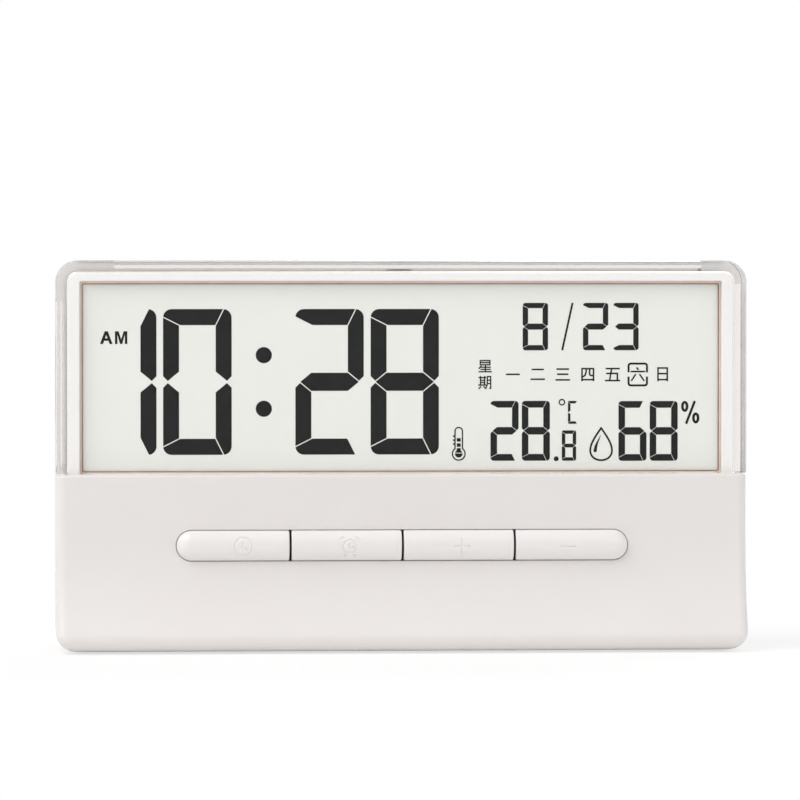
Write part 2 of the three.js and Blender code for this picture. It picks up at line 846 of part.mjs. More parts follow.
// Keys: one domed pill cut into four, each with a flange behind the panel and a stem to its switch
const keyRadius = keyHeight / 2;
const keyReach = keyRowLength / 2 - keyRadius;
const flangeFrontY = panelBackY + touchGap / 2;
const flangeBackY = flangeFrontY + keyFlangeSheet;
const plungerTipY = boardFrontY - seatGap - switchHeight - plungerProud;
const domeProfile = Array.from({ length: domeSteps + 1 }, (_, i) => {
  const angle = (Math.PI / 2) * (i / domeSteps);
  return [keyRadius * Math.sin(angle), panelY - keyCrown * Math.cos(angle)];
});
const keyEnd = turned([...domeProfile, [keyRadius, flangeBackY], [0, flangeBackY]], 4 * cornerSteps);
const keySection = polygon([
  ...domeProfile.map(([r, y]) => [y, r]).reverse(),
  ...domeProfile.slice(1).map(([r, y]) => [y, -r]),
  [flangeBackY, -keyRadius],
  [flangeBackY, keyRadius],
]);
const keyRow = join([
  bar(keySection, -keyReach, keyReach),
  keyEnd.translate([-keyReach, 0, 0]),
  keyEnd.translate([keyReach, 0, 0]),
]).translate([0, 0, keyCentreHeight]);
const keyFlange = slab(
  pillOutline(keyRowLength + 2 * keyFlangeOver, keyHeight + 2 * keyFlangeOver, keyCentreHeight),
  flangeFrontY,
  flangeBackY,
);
const keyBlank = keyRow.add(keyFlange);
const switchHalf = switchSize / 2;
const switchBox = block(-switchHalf, switchHalf, -switchHeight, 0, -switchHalf, switchHalf);
const plungerHoleEnd = plungerSunk + keyTravel + touchGap - switchHeight;
const plungerHole = rod(plungerRadius + holeGap, -switchHeight - overcut, plungerHoleEnd, 0, 0);
const switchGeometry = geometryOf(switchBox.subtract(plungerHole));
const plungerGeometry = geometryOf(rod(plungerRadius, 0, plungerProud + plungerSunk, 0, 0));
keyNames.forEach((name, i) => {
  const first = i === 0;
  const last = i === keyNames.length - 1;
  const left = first ? -keyRowLength / 2 : (i - keyNames.length / 2) * keyPitch + keyGap / 2;
  const right = last ? keyRowLength / 2 : (i + 1 - keyNames.length / 2) * keyPitch - keyGap / 2;
  const centre = (left + right) / 2;
  const slice = block(
    left - (first ? keyFlangeOver : 0),
    right + (last ? keyFlangeOver : 0),
    lipY - overcut,
    boardFrontY,
    keyCentreHeight - keyRadius - keyFlangeOver,
    keyCentreHeight + keyRadius + keyFlangeOver,
  );
  const stem = rod(keyStemRadius, flangeFrontY, plungerTipY - seatGap, centre, keyCentreHeight);
  addSolid(keypad, `${name}_key`, keyBlank.intersect(slice).add(stem), keyPlastic);
  const body = addPiece(keypad, `${name}_switch`, switchGeometry, blackPlastic);
  body.position.set(centre, boardFrontY - seatGap, keyCentreHeight);
  const plunger = addPiece(keypad, `${name}_plunger`, plungerGeometry, sensorPlastic);
  plunger.position.set(centre, plungerTipY, keyCentreHeight);
});

// Circuit board and what is soldered to its back
const boardHoles = boardScrews.map(([x, z]) => (
  rod(boardHoleRadius, boardFrontY - overcut, boardBackY + overcut, x, z)
));
const board = block(-boardWidth / 2, boardWidth / 2, boardFrontY, boardBackY, boardBottom, boardTop);
addSolid(electronics, 'main_board', board.subtract(join(boardHoles)), boardResin);
const chipProfile = Array.from({ length: chipSteps }, (_, i) => {
  const angle = (Math.PI / 2) * (i / chipSteps);
  return [chipRadius * Math.cos(angle), chipHeight * Math.sin(angle)];
});
const chipDome = turned([[0, 0], ...chipProfile, [0, chipHeight]]);
const chip = addSolid(electronics, 'controller_chip', chipDome, chipEpoxy);
chip.position.set(chipX, boardBackY + seatGap, boardBottom + chipRise);
const crystal = crossRod(crystalRadius, -crystalLength / 2, crystalLength / 2, 0, 0);
addSolid(electronics, 'quartz_crystal', crystal, steel).position.set(
  crystalX,
  boardBackY + seatGap + crystalRadius,
  boardBottom + crystalRise,
);
const buzzer = turned([
  [0, 0],
  [buzzerRadius, 0],
  [buzzerRadius, buzzerHeight],
  [buzzerHoleRadius, buzzerHeight],
  [buzzerHoleRadius, buzzerHeight / 2],
  [0, buzzerHeight / 2],
]);
const climateZ = boardBottom + climateRise;
const solderedY = boardBackY + seatGap;
addSolid(electronics, 'buzzer', buzzer, blackPlastic).position.set(buzzerX, solderedY, climateZ);
const sensor = block(
  sensorX - sensorWidth / 2,
  sensorX + sensorWidth / 2,
  solderedY,
  solderedY + sensorDepth,
  climateZ - sensorHeight / 2,
  climateZ + sensorHeight / 2,
);
addSolid(electronics, 'climate_sensor', sensor, sensorPlastic);

// Screws point to the front. A screw's origin is under its head.
function screwGeometry(shank, head, headHeight, length) {
  const body = turned([
    [0, -length],
    [shank / 2, -length],
    [shank, -length + shank],
    [shank, 0],
    [head, 0],
    [head, headHeight / 2],
    [head / 2, headHeight],
    [0, headHeight],
  ], screwSides);
  const long = head / 2 + crossWidth / 2;
  const cross = [[long, crossWidth / 2], [crossWidth / 2, long]].map(([x, z]) => (
    block(-x, x, headHeight - crossDepth, headHeight + overcut, -z, z)
  ));
  return geometryOf(body.subtract(join(cross)));
}
const caseScrew = screwGeometry(caseScrewShank, caseScrewHead, caseScrewHeadHeight, caseScrewLength);
caseBosses.forEach(([x, z], i) => {
  addPiece(housing, `case_screw_${i + 1}`, caseScrew, steel).position.set(x, caseSeatY + seatGap, z);
});
const boardScrew = screwGeometry(boardScrewShank, boardScrewHead, boardScrewHeadHeight, boardScrewLength);
boardScrews.forEach(([x, z], i) => {
  addPiece(electronics, `board_screw_${i + 1}`, boardScrew, steel).position.set(x, boardBackY + seatGap, z);
});

// Battery cells lie head to tail along X, each pressed by a coil spring on its flat end
class Coil extends THREE.Curve {
  getPoint(t, target = new THREE.Vector3()) {
    const angle = 2 * Math.PI * springTurns * t;
    const along = springWire / 2 + (springLength - springWire) * t;
    return target.set(along, springRadius * Math.cos(angle), springRadius * Math.sin(angle));
  }
}
function ringOutline(radius, count) {
  return polygon(Array.from({ length: count }, (_, i) => {
    const angle = 2 * Math.PI * (i / count);
    return [radius * Math.cos(angle), radius * Math.sin(angle)];
  }));
}
function tube(path, radius, count, steps) {
  return solidOf(new THREE.ExtrudeGeometry(ringOutline(radius, count), { steps, extrudePath: path }));
}
function leastGap(path, steps, apart, thickness) {
  const points = Array.from({ length: steps + 1 }, (_, i) => path.getPoint(i / steps));
  const gaps = points.flatMap((p, i) => points.slice(i + apart).map((q) => p.distanceTo(q) - thickness));
  return Math.min(...gaps);
}
const coil = new Coil();
const coilSteps = springTurns * curlSteps;
const coilGap = leastGap(coil, coilSteps, curlSteps / 2, springWire);
console.log(`least gap between spring turns ${coilGap.toFixed(2)} mm`);
const springGeometry = geometryOf(tube(coil, springWire / 2, wireSides, coilSteps));
const cell = turned([
  [0, 0],
  [cellRadius, 0],
  [cellRadius, cellLength - nubLength],
  [nubRadius, cellLength - nubLength],
  [nubRadius, cellLength],
  [0, cellLength],
]);
const cellGeometry = geometryOf(cell).rotateZ(-Math.PI / 2);
const springX = -bayHalf + seatGap + contactSheet + touchGap;
const cellX = springX + springLength + touchGap;
[['upper', upperCellZ, 0], ['lower', lowerCellZ, Math.PI]].forEach(([name, z, turn]) => {
  const row = new THREE.Group();
  row.position.set(0, cellY, z);
  row.rotation.z = turn;
  battery.add(row);
  addPiece(row, `${name}_cell`, cellGeometry, cellJacket).position.x = cellX;
  addPiece(row, `${name}_spring`, springGeometry, nickel).position.x = springX;
});

// Contacts: a bridge across the left ends, and one tabbed plate for each pole at the right ends
function contactPlate(x, low, high) {
  return block(
    x - contactSheet / 2,
    x + contactSheet / 2,
    cellY - contactWidth / 2,
    cellY + contactWidth / 2,
    low - contactWidth / 2,
    high + contactWidth / 2,
  );
}
function contactTab(z) {
  return block(
    contactX - contactSheet / 2,
    contactX + contactSheet / 2,
    contactTabY,
    cellY,
    z - contactTabWidth / 2,
    z + contactTabWidth / 2,
  );
}
addSolid(battery, 'bridge_contact', contactPlate(-contactX, lowerCellZ, upperCellZ), nickel);
const poles = [
  ['positive', upperCellZ, 'red', redLeadPlastic],
  ['negative', lowerCellZ, 'black', blackLeadPlastic],
];
for (const [pole, z, colour, material] of poles) {
  addSolid(battery, `${pole}_contact`, contactPlate(contactX, z, z).add(contactTab(z)), nickel);
  const leadZ = Math.max(z, boardBottom + leadReach / 2);
  const route = new THREE.CatmullRomCurve3([
    new THREE.Vector3(contactX, contactTabY - touchGap, z),
    new THREE.Vector3(contactX, contactTabY - touchGap - leadRadius, z),
    new THREE.Vector3(contactX + leadReach, boardBackY + touchGap + 2 * leadRadius, leadZ),
    new THREE.Vector3(contactX + leadReach, boardBackY + touchGap, leadZ),
  ]);
  addSolid(battery, `${colour}_lead`, tube(route, leadRadius, leadSides, leadSteps), material);
}

// Battery door with a round foot, so that it turns on its pins without touching the recess. Two slits free
// a latch tongue at its top, which has a finger recess under a bar.
const doorTop = recessTop - doorGap;
const doorHalf = recessHalf - doorGap;
const doorOutline = new THREE.Shape();
doorOutline.moveTo(doorInnerY, doorTop);
doorOutline.lineTo(doorInnerY, doorPinZ);
doorOutline.absarc(doorInnerY + doorSheet / 2, doorPinZ, doorSheet / 2, Math.PI, 2 * Math.PI, false);
doorOutline.lineTo(backY, doorTop);
const doorPinEnd = recessHalf + doorPinLength;
const doorPins = crossRod(doorPinRadius, -doorPinEnd, doorPinEnd, doorPinY, doorPinZ);
const latchSlits = sides.map((side) => block(
  side * latchWidth / 2 - latchSlit / 2,
  side * latchWidth / 2 + latchSlit / 2,
  doorInnerY - overcut,
  backY + overcut,
  doorTop - latchLength,
  doorTop + overcut,
));
const fingerSink = block(
  -latchWidth / 2,
  latchWidth / 2,
  backY - latchSink,
  backY + overcut,
  doorTop - latchLength,
  doorTop - latchBar,
);
const doorBlank = bar(doorOutline, -doorHalf, doorHalf).add(doorPins);
addSolid(battery, 'battery_door', doorBlank.subtract(join([...latchSlits, fingerSink])), whitePlastic);

export default clock;
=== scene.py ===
import math

import bmesh
import bpy
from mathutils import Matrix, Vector


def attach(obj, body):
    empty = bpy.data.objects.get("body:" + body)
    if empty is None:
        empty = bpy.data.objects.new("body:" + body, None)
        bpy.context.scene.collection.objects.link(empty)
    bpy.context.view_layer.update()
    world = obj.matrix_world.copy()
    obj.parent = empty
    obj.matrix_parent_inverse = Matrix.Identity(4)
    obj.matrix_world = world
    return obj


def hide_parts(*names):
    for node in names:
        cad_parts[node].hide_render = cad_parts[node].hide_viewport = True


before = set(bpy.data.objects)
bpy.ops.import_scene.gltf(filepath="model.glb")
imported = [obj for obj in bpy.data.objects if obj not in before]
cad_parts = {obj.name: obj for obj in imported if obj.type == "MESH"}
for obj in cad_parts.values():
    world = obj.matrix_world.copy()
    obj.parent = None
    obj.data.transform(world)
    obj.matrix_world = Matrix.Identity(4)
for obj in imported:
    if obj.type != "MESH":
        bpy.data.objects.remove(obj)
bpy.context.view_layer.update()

# Studio: a long lens a little left of the clock and level with its top, a white floor and room, a large soft
# lamp high on the left, a weaker one on the right and one behind. Lengths are in metres in this section, and
# in millimetres in those below.
scene = bpy.context.scene
scene.view_settings.view_transform = "Standard"


def aim(thing, place, target):
    thing.location = place
    thing.rotation_euler = (Vector(target) - Vector(place)).to_track_quat("-Z", "Y").to_euler()
    scene.collection.objects.link(thing)


camera = bpy.data.objects.new("camera", bpy.data.cameras.new("camera"))
camera.data.sensor_width = 36
camera.data.lens = 269.1
camera.data.clip_end = 20
aim(camera, (-0.0768, -1.2212, 0.07957), (0.000454, 0, 0.05072))
scene.camera = camera
lamp_target = (0, 0, 0.04)
for name, place, size, watts in (
    ("main_lamp", (-0.9, -0.6, 1.25), 1.2, 15.2),
    ("right_lamp", (1.2, -0.7, 0.6), 1.0, 3),
    ("rear_lamp", (0.5, 1.2, 0.9), 0.9, 6),
):
    lamp = bpy.data.objects.new(name, bpy.data.lights.new(name, "AREA"))
    lamp.data.size = size
    lamp.data.energy = watts
    aim(lamp, place, lamp_target)


def feed(node, sockets):
    """Sets a node's inputs, given by name or number, to values, or links them to other nodes' outputs."""
    for socket, value in sockets.items():
        if isinstance(value, bpy.types.NodeSocket):
            node.id_data.links.new(value, node.inputs[socket])
        else:
            node.inputs[socket].default_value = value


def node_of(tree, kind, *first, **others):
    """A new shader node, with its first inputs in order and its other inputs or settings by name."""
    node = tree.nodes.new("ShaderNode" + kind)
    sockets = dict(enumerate(first))
    for name, value in others.items():
        if hasattr(node, name):
            setattr(node, name, value)
        else:
            sockets[name] = value
    feed(node, sockets)
    return node


def direct_view(tree, kind):
    """1 for a kind of ray that comes straight from the viewer, and 0 for scattered light."""
    path = node_of(tree, "LightPath").outputs
    straight = node_of(tree, "Math", path["Diffuse Depth"], 0.5, operation="LESS_THAN")
    return node_of(tree, "Math", path[kind], straight.outputs[0], operation="MULTIPLY").outputs[0]


def smooth_range(tree, value, limits, results):
    """A value carried smoothly from one range to another."""
    return node_of(tree, "MapRange", value, *limits, *results, interpolation_type="SMOOTHSTEP").outputs[0]


# The room is darker in mirrors toward the viewer, within a cone whose edge fades.
cone, cone_light = (-0.985, -0.88), (0.1, 0.92)
world = bpy.data.worlds.new("room")
scene.world = world
world.use_nodes = True
room = world.node_tree
room.nodes.clear()
direction = node_of(room, "SeparateXYZ", node_of(room, "TexCoord").outputs["Generated"])
light = smooth_range(room, direction.outputs["Y"], cone, cone_light)
shown = node_of(room, "Background", Color=(0.98, 0.99, 1, 1), Strength=0.58).outputs[0]
mirrored = node_of(room, "Background", Color=(0.98, 0.945, 0.93, 1), Strength=light).outputs[0]
backdrop = node_of(room, "Background", Color=(1, 1, 1, 1), Strength=1.0).outputs[0]
views = {"Is Glossy Ray": mirrored, "Is Transmission Ray": mirrored, "Is Camera Ray": backdrop}
for kind, view in views.items():
    shown = node_of(room, "MixShader", direct_view(room, kind), shown, view).outputs[0]
node_of(room, "OutputWorld", shown)


def finish_of(name):
    """A new material, its tree and its surface."""
    finish = bpy.data.materials.new(name)
    finish.use_nodes = True
    return finish, finish.node_tree, finish.node_tree.nodes["Principled BSDF"]


# The floor takes soft shadows near the clock and fades into the white room further away. Through clear
# plastic it looks a little dimmer.
fade_reach, fade_share = (0.1, 0.3), (0.7, 1.0)
floor_mesh = bpy.data.meshes.new("floor")
floor_mesh.from_pydata([(-3, -0.6, 0), (3, -0.6, 0), (3, 5, 0), (-3, 5, 0)], [], [(0, 1, 2, 3)])
floor = bpy.data.objects.new("floor", floor_mesh)
scene.collection.objects.link(floor)
paper, tree, surface = finish_of("floor_paper")
tree.nodes.clear()
distance = node_of(tree, "VectorMath", node_of(tree, "TexCoord").outputs["Object"], operation="LENGTH")
fading = smooth_range(tree, distance.outputs["Value"], fade_reach, fade_share)
shown = node_of(tree, "BsdfDiffuse", Color=(0.95, 0.94, 0.93, 1)).outputs[0]
for kind, colour in (("Is Transmission Ray", (0.9, 0.868, 0.855, 1)), ("Is Camera Ray", (1, 1, 1, 1))):
    share = node_of(tree, "Math", direct_view(tree, kind), fading, operation="MULTIPLY").outputs[0]
    glow = node_of(tree, "Emission", Color=colour).outputs[0]
    shown = node_of(tree, "MixShader", share, shown, glow).outputs[0]
node_of(tree, "OutputMaterial", shown)
floor_mesh.materials.append(paper)

# Front housing: the white ABS base panel, moulded in one with the lip that sweeps forward at its foot.
# A pill slot lets the keys through. The mould's fine spark-eroded grain gives it a satin face.
MM, MICRON = 0.001, 0.000001
half_width, base_height, underside = 70.0, 36.0, 0.5
lip_y, panel_y, part_y, wall = -20.0, -15.0, -1.5, 2.2
lip_round, corner_round, front_edge_round, top_edge_round, seam = 2.4, 4.0, 2.0, 0.55, 0.1
least_round, overcut, weld = 0.2, 1.0, 1e-7
sharp_angle = math.radians(32)
flare_top, lip_top = 24.5, underside + lip_round
flare_rise, flare_out = flare_top - lip_top, panel_y - lip_y
flare_radius = (flare_rise**2 + (flare_out - lip_round) ** 2 - lip_round**2) / (2 * flare_out)
flare_low = lip_top + lip_round * flare_rise / (flare_radius + lip_round)


def panel_face(z):
    """Y of the front: upright at the top, then sweeping forward into the round of the lip."""
    if z < flare_low:
        return lip_y + lip_round - math.sqrt(lip_round**2 - max(z - lip_top, 0) ** 2)
    return panel_y - flare_radius + math.sqrt(flare_radius**2 - max(flare_top - z, 0) ** 2)


def draw_in(distance, radius):
    """How far a rounded edge draws in at some distance from the face where it ends."""
    return 0.0 if distance >= radius else radius - math.sqrt(radius**2 - (radius - max(distance, 0)) ** 2)


def round_levels(radius, steps):
    """Distances from a face that follow its rounded edge evenly."""
    return [radius * (1 - math.cos(math.pi / 2 * i / steps)) for i in range(steps + 1)]


def round_steps(radius, steps):
    """The same distances, each with how far the edge draws in there."""
    return [(distance, draw_in(distance, radius)) for distance in round_levels(radius, steps)]


def arc(u, v, wide, high, start, sweep, steps):
    """Points along part of an ellipse about (u, v), with its angles in radians."""
    turns = [start + sweep * i / steps for i in range(steps + 1)]
    return [(u + wide * math.cos(a), v + high * math.sin(a)) for a in turns]


def circle(u, v, radius, steps=32):
    return arc(u, v, radius, radius, 0, 2 * math.pi, steps)[:-1]


def rounded_ring(u0, u1, v0, v1, radii, steps=8):
    """Points round a four-cornered outline, from its low corner, with a radius for each corner."""
    corners = ((u0, v0, 1, 1), (u1, v0, -1, 1), (u1, v1, -1, -1), (u0, v1, 1, -1))
    points = []
    for quarter, ((u, v, right, up), radius) in enumerate(zip(corners, radii)):
        start = math.pi * (1 + quarter / 2)
        points += arc(u + right * radius, v + up * radius, radius, radius, start, math.pi / 2, steps)
    return points


def skin(rings, looped=False):
    """Points and faces over rings of equally many points, capped at both ends or looped to the first."""
    count, rows = len(rings[0]), len(rings)
    points = [p for ring in rings for p in ring]
    faces = []
    for row in range(rows if looped else rows - 1):
        a, b = row * count, (row + 1) % rows * count
        faces += [(a + i, a + (i + 1) % count, b + (i + 1) % count, b + i) for i in range(count)]
    if not looped:
        faces += [tuple(range(count))[::-1], tuple(range(len(points) - count, len(points)))]
    return points, faces


def shape(name, points, faces):
    """An object from points in millimetres, with doubled points merged and its faces turned outward."""
    mesh = bpy.data.meshes.new(name)
    mesh.from_pydata([Vector(p) * MM for p in points], [], faces)
    work = bmesh.new()
    work.from_mesh(mesh)
    bmesh.ops.remove_doubles(work, verts=work.verts, dist=weld)
    bmesh.ops.dissolve_degenerate(work, edges=work.edges, dist=weld)
    bmesh.ops.recalc_face_normals(work, faces=work.faces)
    work.to_mesh(mesh)
    work.free()
    made = bpy.data.objects.new(name, mesh)
    scene.collection.objects.link(made)
    return made


def merged(*parts):
    """Points and faces of several shapes as one."""
    points, faces = [], []
    for part_points, part_faces in parts:
        faces += [tuple(i + len(points) for i in face) for face in part_faces]
        points += part_points
    return points, faces


def combine(piece, operation, parts):
    """Cuts parts out of a piece or joins them on."""
    tool = shape("tool", *merged(*parts))
    change = piece.modifiers.new("change", "BOOLEAN")
    change.operation = operation
    change.solver = "EXACT"
    change.object = tool
    whole = piece.evaluated_get(bpy.context.evaluated_depsgraph_get())
    mesh = bpy.data.meshes.new_from_object(whole)
    piece.modifiers.clear()
    piece.data = mesh
    bpy.data.objects.remove(tool)


def cut(piece, *parts):
    combine(piece, "DIFFERENCE", parts)


def join(piece, *parts):
    combine(piece, "UNION", parts)


def settle(piece, finish, slot, *stands_for, body="clock"):
    """Gives a piece its finish, even shading and body, and hides the nodes it stands for. Its slot is not
    used.
    """
    piece.data.materials.clear()
    piece.data.materials.append(finish)
    piece.data.shade_smooth()
    piece.data.set_sharp_from_angle(angle=sharp_angle)
    piece.modifiers.new("even_shading", "WEIGHTED_NORMAL").keep_sharp = True
    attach(piece, body)
    if stands_for:
        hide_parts(*stands_for)


def rod(axis, u, v, radius, ends, steps):
    """A round bar along X, Y or Z, as axis 0, 1 or 2. (u, v) is its centre in the other two directions."""
    return skin([[(*p[:axis], end, *p[axis:]) for p in circle(u, v, radius, steps)] for end in ends])


def opening(half, low, high, corner, steps=8):
    """The outline of a hole in X and Z, as a function of how far it has grown."""

    def outline(grow):
        radii = (corner + grow,) * 4
        return rounded_ring(-half - grow, half + grow, low - grow, high + grow, radii, steps)

    return outline


def hole(outline, surface, outward, rim, bottom):
    """A cutter for a hole with a rounded rim. surface(z) is the face that it enters."""
    rings = [[(x, surface(z) + outward, z) for x, z in outline(rim)]]
    for depth, draw in round_steps(rim, 5):
        rings.append([(x, surface(z) - outward * depth, z) for x, z in outline(draw)])
    rings.append([(x, bottom, z) for x, z in outline(0)])
    return skin(rings)


def two_tones(tree, share, limits, tones):
    """A colour between two tones, by a share that runs between two limits."""
    ramp = node_of(tree, "ValToRGB", share)
    for element, limit, tone in zip(ramp.color_ramp.elements, limits, tones):
        element.position = limit
        element.color = (*tone, 1)
    return ramp.outputs["Color"]


noise_middle = (0.3, 0.7)


def moulded(name, colour, shade, roughness, grain, relief, cloud=30):
    """A moulded plastic or rubber: a faint cloud of two tones, patches of polish and a fine grain in relief.
    The cloud's size is in millimetres, and the grain's size and height are in micrometres."""
    finish, tree, surface = finish_of(name)
    place = node_of(tree, "TexCoord").outputs["Object"]
    coarse, fine = 1 / (cloud * MM), 1 / (grain * MICRON)
    clouds, polish, grains = [
        node_of(tree, "TexNoise", place, Scale=scale, Detail=detail, Roughness=rough).outputs["Fac"]
        for scale, detail, rough in ((coarse, 4.0, 0.55), (4 * coarse, 5.0, 0.6), (fine, 2.0, 0.5))
    ]
    sockets = {
        "Base Color": two_tones(tree, clouds, noise_middle, (shade, colour)),
        "Roughness": node_of(tree, "MapRange", polish, *noise_middle, *roughness).outputs[0],
        "Normal": node_of(tree, "Bump", Distance=relief * MICRON, Height=grains).outputs[0],
    }
    feed(surface, sockets)
    return finish


white_abs = moulded("white_abs", (0.785, 0.752, 0.73), (0.77, 0.735, 0.713), (0.38, 0.5), 280, 7)


def base_rings(inset):
    """Level rings of the front half of the base, or of its hollow when inset by the wall."""
    low, high = underside + inset, base_height + inset
    rear = part_y - seam + inset
    corner = corner_round - inset
    levels = [low + rise for rise in round_levels(corner, 14)]
    levels += [low + corner + (flare_top - low - corner) * i / 24 for i in range(1, 25)]
    levels += [high - drop for drop in reversed(round_levels(top_edge_round, 6))]
    rings = []
    for z in levels:
        top = draw_in(high - z, top_edge_round)
        half = half_width - inset - draw_in(z - low, corner) - top
        front = panel_face(z) + inset + draw_in(z - low, max(lip_round - inset, least_round)) + top
        edge = max(front_edge_round - inset, least_round)
        rings.append([(x, y, z) for x, y in rounded_ring(-half, half, front, rear, (edge, edge, 0, 0))])
    return rings


foot_x, foot_front_y, foot_rear_y = 56.0, -6.5, 12.0
foot_radius, foot_thickness, foot_gap, foot_seat_gap = 3.5, 1.4, 0.3, 0.1


def foot_sockets(y):
    """Cutters for the sockets of two feet."""
    ends = (-overcut, foot_thickness + foot_seat_gap)
    return [rod(2, x, y, foot_radius + foot_gap, ends, 40) for x in (-foot_x, foot_x)]


key_radius, key_half_row, key_height, slot_gap, slot_rim = 3.05, 45.7, 21.7, 0.09, 0.18
slot_round = key_radius + slot_gap
slot_sizes = (key_half_row + slot_gap, key_height - slot_round, key_height + slot_round, slot_round)
front_housing = shape("front_panel", *skin(base_rings(0)))
cut(front_housing, skin(base_rings(wall)))
cut(
    front_housing,
    hole(opening(*slot_sizes, 14), panel_face, -1, slot_rim, panel_y + wall + overcut),
    *foot_sockets(foot_front_y),
)
settle(front_housing, white_abs, "white_plastic", "front_housing")

# Rear housing: the back shell of the same white ABS, upright over the battery bay and leaning above it.
# It has the bay, its recess for the door, four sunk screw holes and two groups of slots.
body_height, back_y, rear_edge_round, crown_round, brow_round = 79.3, 20.0, 4.0, 4.5, 3.0
bend_height, bend_radius, top_thickness = 31.5, 15.0, 20.0
seam_edge, rim_bevel, rim_slope = 0.2, 0.75, 0.15
lean = math.atan2(back_y - panel_y - top_thickness, body_height - bend_height)
bend_reach = bend_radius * math.tan(lean / 2)
bend_low, bend_high = bend_height - bend_reach, bend_height + bend_reach * math.cos(lean)


def back_face(z):
    """Y of the back: upright, then a bend, then leaning forward to the top."""
    if z <= bend_low:
        return back_y
    if z < bend_high:
        return back_y - bend_radius + math.sqrt(bend_radius**2 - (z - bend_low) ** 2)
    return back_y - math.tan(lean) * (z - bend_height)


def rear_rings(inset):
    """Level rings of the rear half of the clock, or of its hollow when inset by the wall."""
    low, high = underside + inset, body_height - inset
    corner, foot = corner_round - inset, max(lip_round - inset, least_round)
    crown, brow = crown_round - inset, max(brow_round - inset, least_round)
    edge, rim = rear_edge_round - inset, 0.0 if inset else seam_edge
    levels = [low + rise for rise in round_levels(corner, 12)]
    levels += [bend_low + (bend_high - bend_low) * i / 12 for i in range(13)]
    levels += [high - drop for drop in reversed(round_levels(crown, 14))]
    rings = []
    for z in levels:
        half = half_width - inset - draw_in(z - low, corner) - draw_in(high - z, crown)
        rear = back_face(z) - inset - draw_in(z - low, foot) - draw_in(high - z, brow)
        outline = rounded_ring(-half, half, part_y - inset, rear, (rim, rim, edge, edge))
        rings.append([(x, y, z) for x, y in outline])
    return rings


def upright_ring(y, half, low, high, radii, inset=0, steps=8):
    """An outline in X and Z at some depth, drawn in by an inset, or grown where that is negative."""
    radii = [radius - inset for radius in radii]
    outline = rounded_ring(-half + inset, half - inset, low + inset, high - inset, radii, steps)
    return [(x, y, z) for x, z in outline]


def box(x0, x1, y0, y1, z0, z1):
    return skin([[(x0, y0, z), (x1, y0, z), (x1, y1, z), (x0, y1, z)] for z in (z0, z1)])


bay_half, bay_low, bay_high, bay_floor_y, bay_wall, bay_setback = 26.2, 4.3, 27.1, 6.6, 1.6, 1.0
recess_half, recess_low, recess_high, ledge_y, recess_corner, recess_rim = 27.5, 3.0, 28.4, 18.05, 0.5, 0.25
vent_width, vent_height, vent_pitch, vent_z, vent_x, vent_count = 1.5, 13.0, 3.2, 24.0, 44, 6
vent_rim, vent_roundness = 0.3, 0.98
screw_places = [(side * x, z) for x, z in ((63.0, 10.0), (63.75, 70.0)) for side in (-1, 1)]
sink_radius, sink_wall, sink_rim, sink_setback, seat_y, shank_hole = 2.6, 1.3, 0.4, 1.5, 2.5, 1.5
pin_y, pin_z, pin_radius, pin_end, pin_gap = 18.9, 4.35, 0.45, 28.5, 0.3
notch_half, notch_low, notch_high, notch_depth = 2.4, 77.2, 77.45, 1.0


def vent_slot(x):
    def outline(grow):
        w, h = vent_width / 2 + grow, vent_height / 2 + grow
        return rounded_ring(x - w, x + w, vent_z - h, vent_z + h, (w * vent_roundness,) * 4, 6)

    return outline


def screw_sink(x, z):
    return lambda grow: circle(x, z, sink_radius + grow, 40)


mouth = (half_width, underside, body_height, (corner_round, corner_round, crown_round, crown_round))
mouth_rings = [upright_ring(part_y, *mouth, wall - rim_bevel), upright_ring(part_y + rim_slope, *mouth, wall)]
rear_housing = shape("back_shell", *skin(rear_rings(0)))
cut(rear_housing, skin(rear_rings(wall)))
cut(rear_housing, skin(mouth_rings))
cut(rear_housing, box(-notch_half, notch_half, part_y - overcut, part_y + notch_depth, notch_low, notch_high))
bay_side = bay_half + bay_wall
bay_depth = (bay_floor_y - bay_wall, back_y - bay_setback)
boss_radius = sink_radius + sink_wall
join(
    rear_housing,
    box(-bay_side, bay_side, *bay_depth, underside + bay_setback, bay_high + bay_wall),
    *[rod(1, x, z, boss_radius, (part_y, back_face(z) - sink_setback), 24) for x, z in screw_places],
)
vent_steps = [(i - (vent_count - 1) / 2) * vent_pitch for i in range(vent_count)]
vent_places = [side * vent_x + step for side in (-1, 1) for step in vent_steps]
door_recess = opening(recess_half, recess_low, recess_high, recess_corner)
cut(
    rear_housing,
    *[hole(vent_slot(x), back_face, 1, vent_rim, back_y - wall - overcut) for x in vent_places],
    *[hole(screw_sink(x, z), back_face, 1, sink_rim, seat_y) for x, z in screw_places],
    hole(door_recess, back_face, 1, recess_rim, ledge_y),
    *foot_sockets(foot_rear_y),
)
cut(
    rear_housing,
    box(-bay_half, bay_half, bay_floor_y, ledge_y + overcut / 2, bay_low, bay_high),
    rod(0, pin_y, pin_z, pin_radius + pin_gap, (-pin_end - pin_gap, pin_end + pin_gap), 20),
    *[rod(1, x, z, shank_hole, (part_y - overcut, seat_y + overcut / 2), 24) for x, z in screw_places],
)
settle(rear_housing, white_abs, "white_plastic", "rear_housing")

# Battery door: a thin white ABS plate that swings out on two pins at its round foot. Two slits free a
# springy tongue at its top, with a sunk finger grip crossed by ribs.
door_half, door_top, door_inner_y, door_sheet, door_edge = 27.2, 28.1, 18.3, 1.7, 0.4
tongue_half, tongue_low, slit = 6.0, 20.1, 0.8
grip_low, grip_high, grip_depth, grip_margin, grip_corner, grip_rim = 20.6, 26.4, 0.8, 0.9, 0.6, 0.2
rib_half, rib_wide, rib_high, rib_root, rib_places = 4.4, 0.45, 0.55, 0.1, (21.9, 23.5, 25.1)


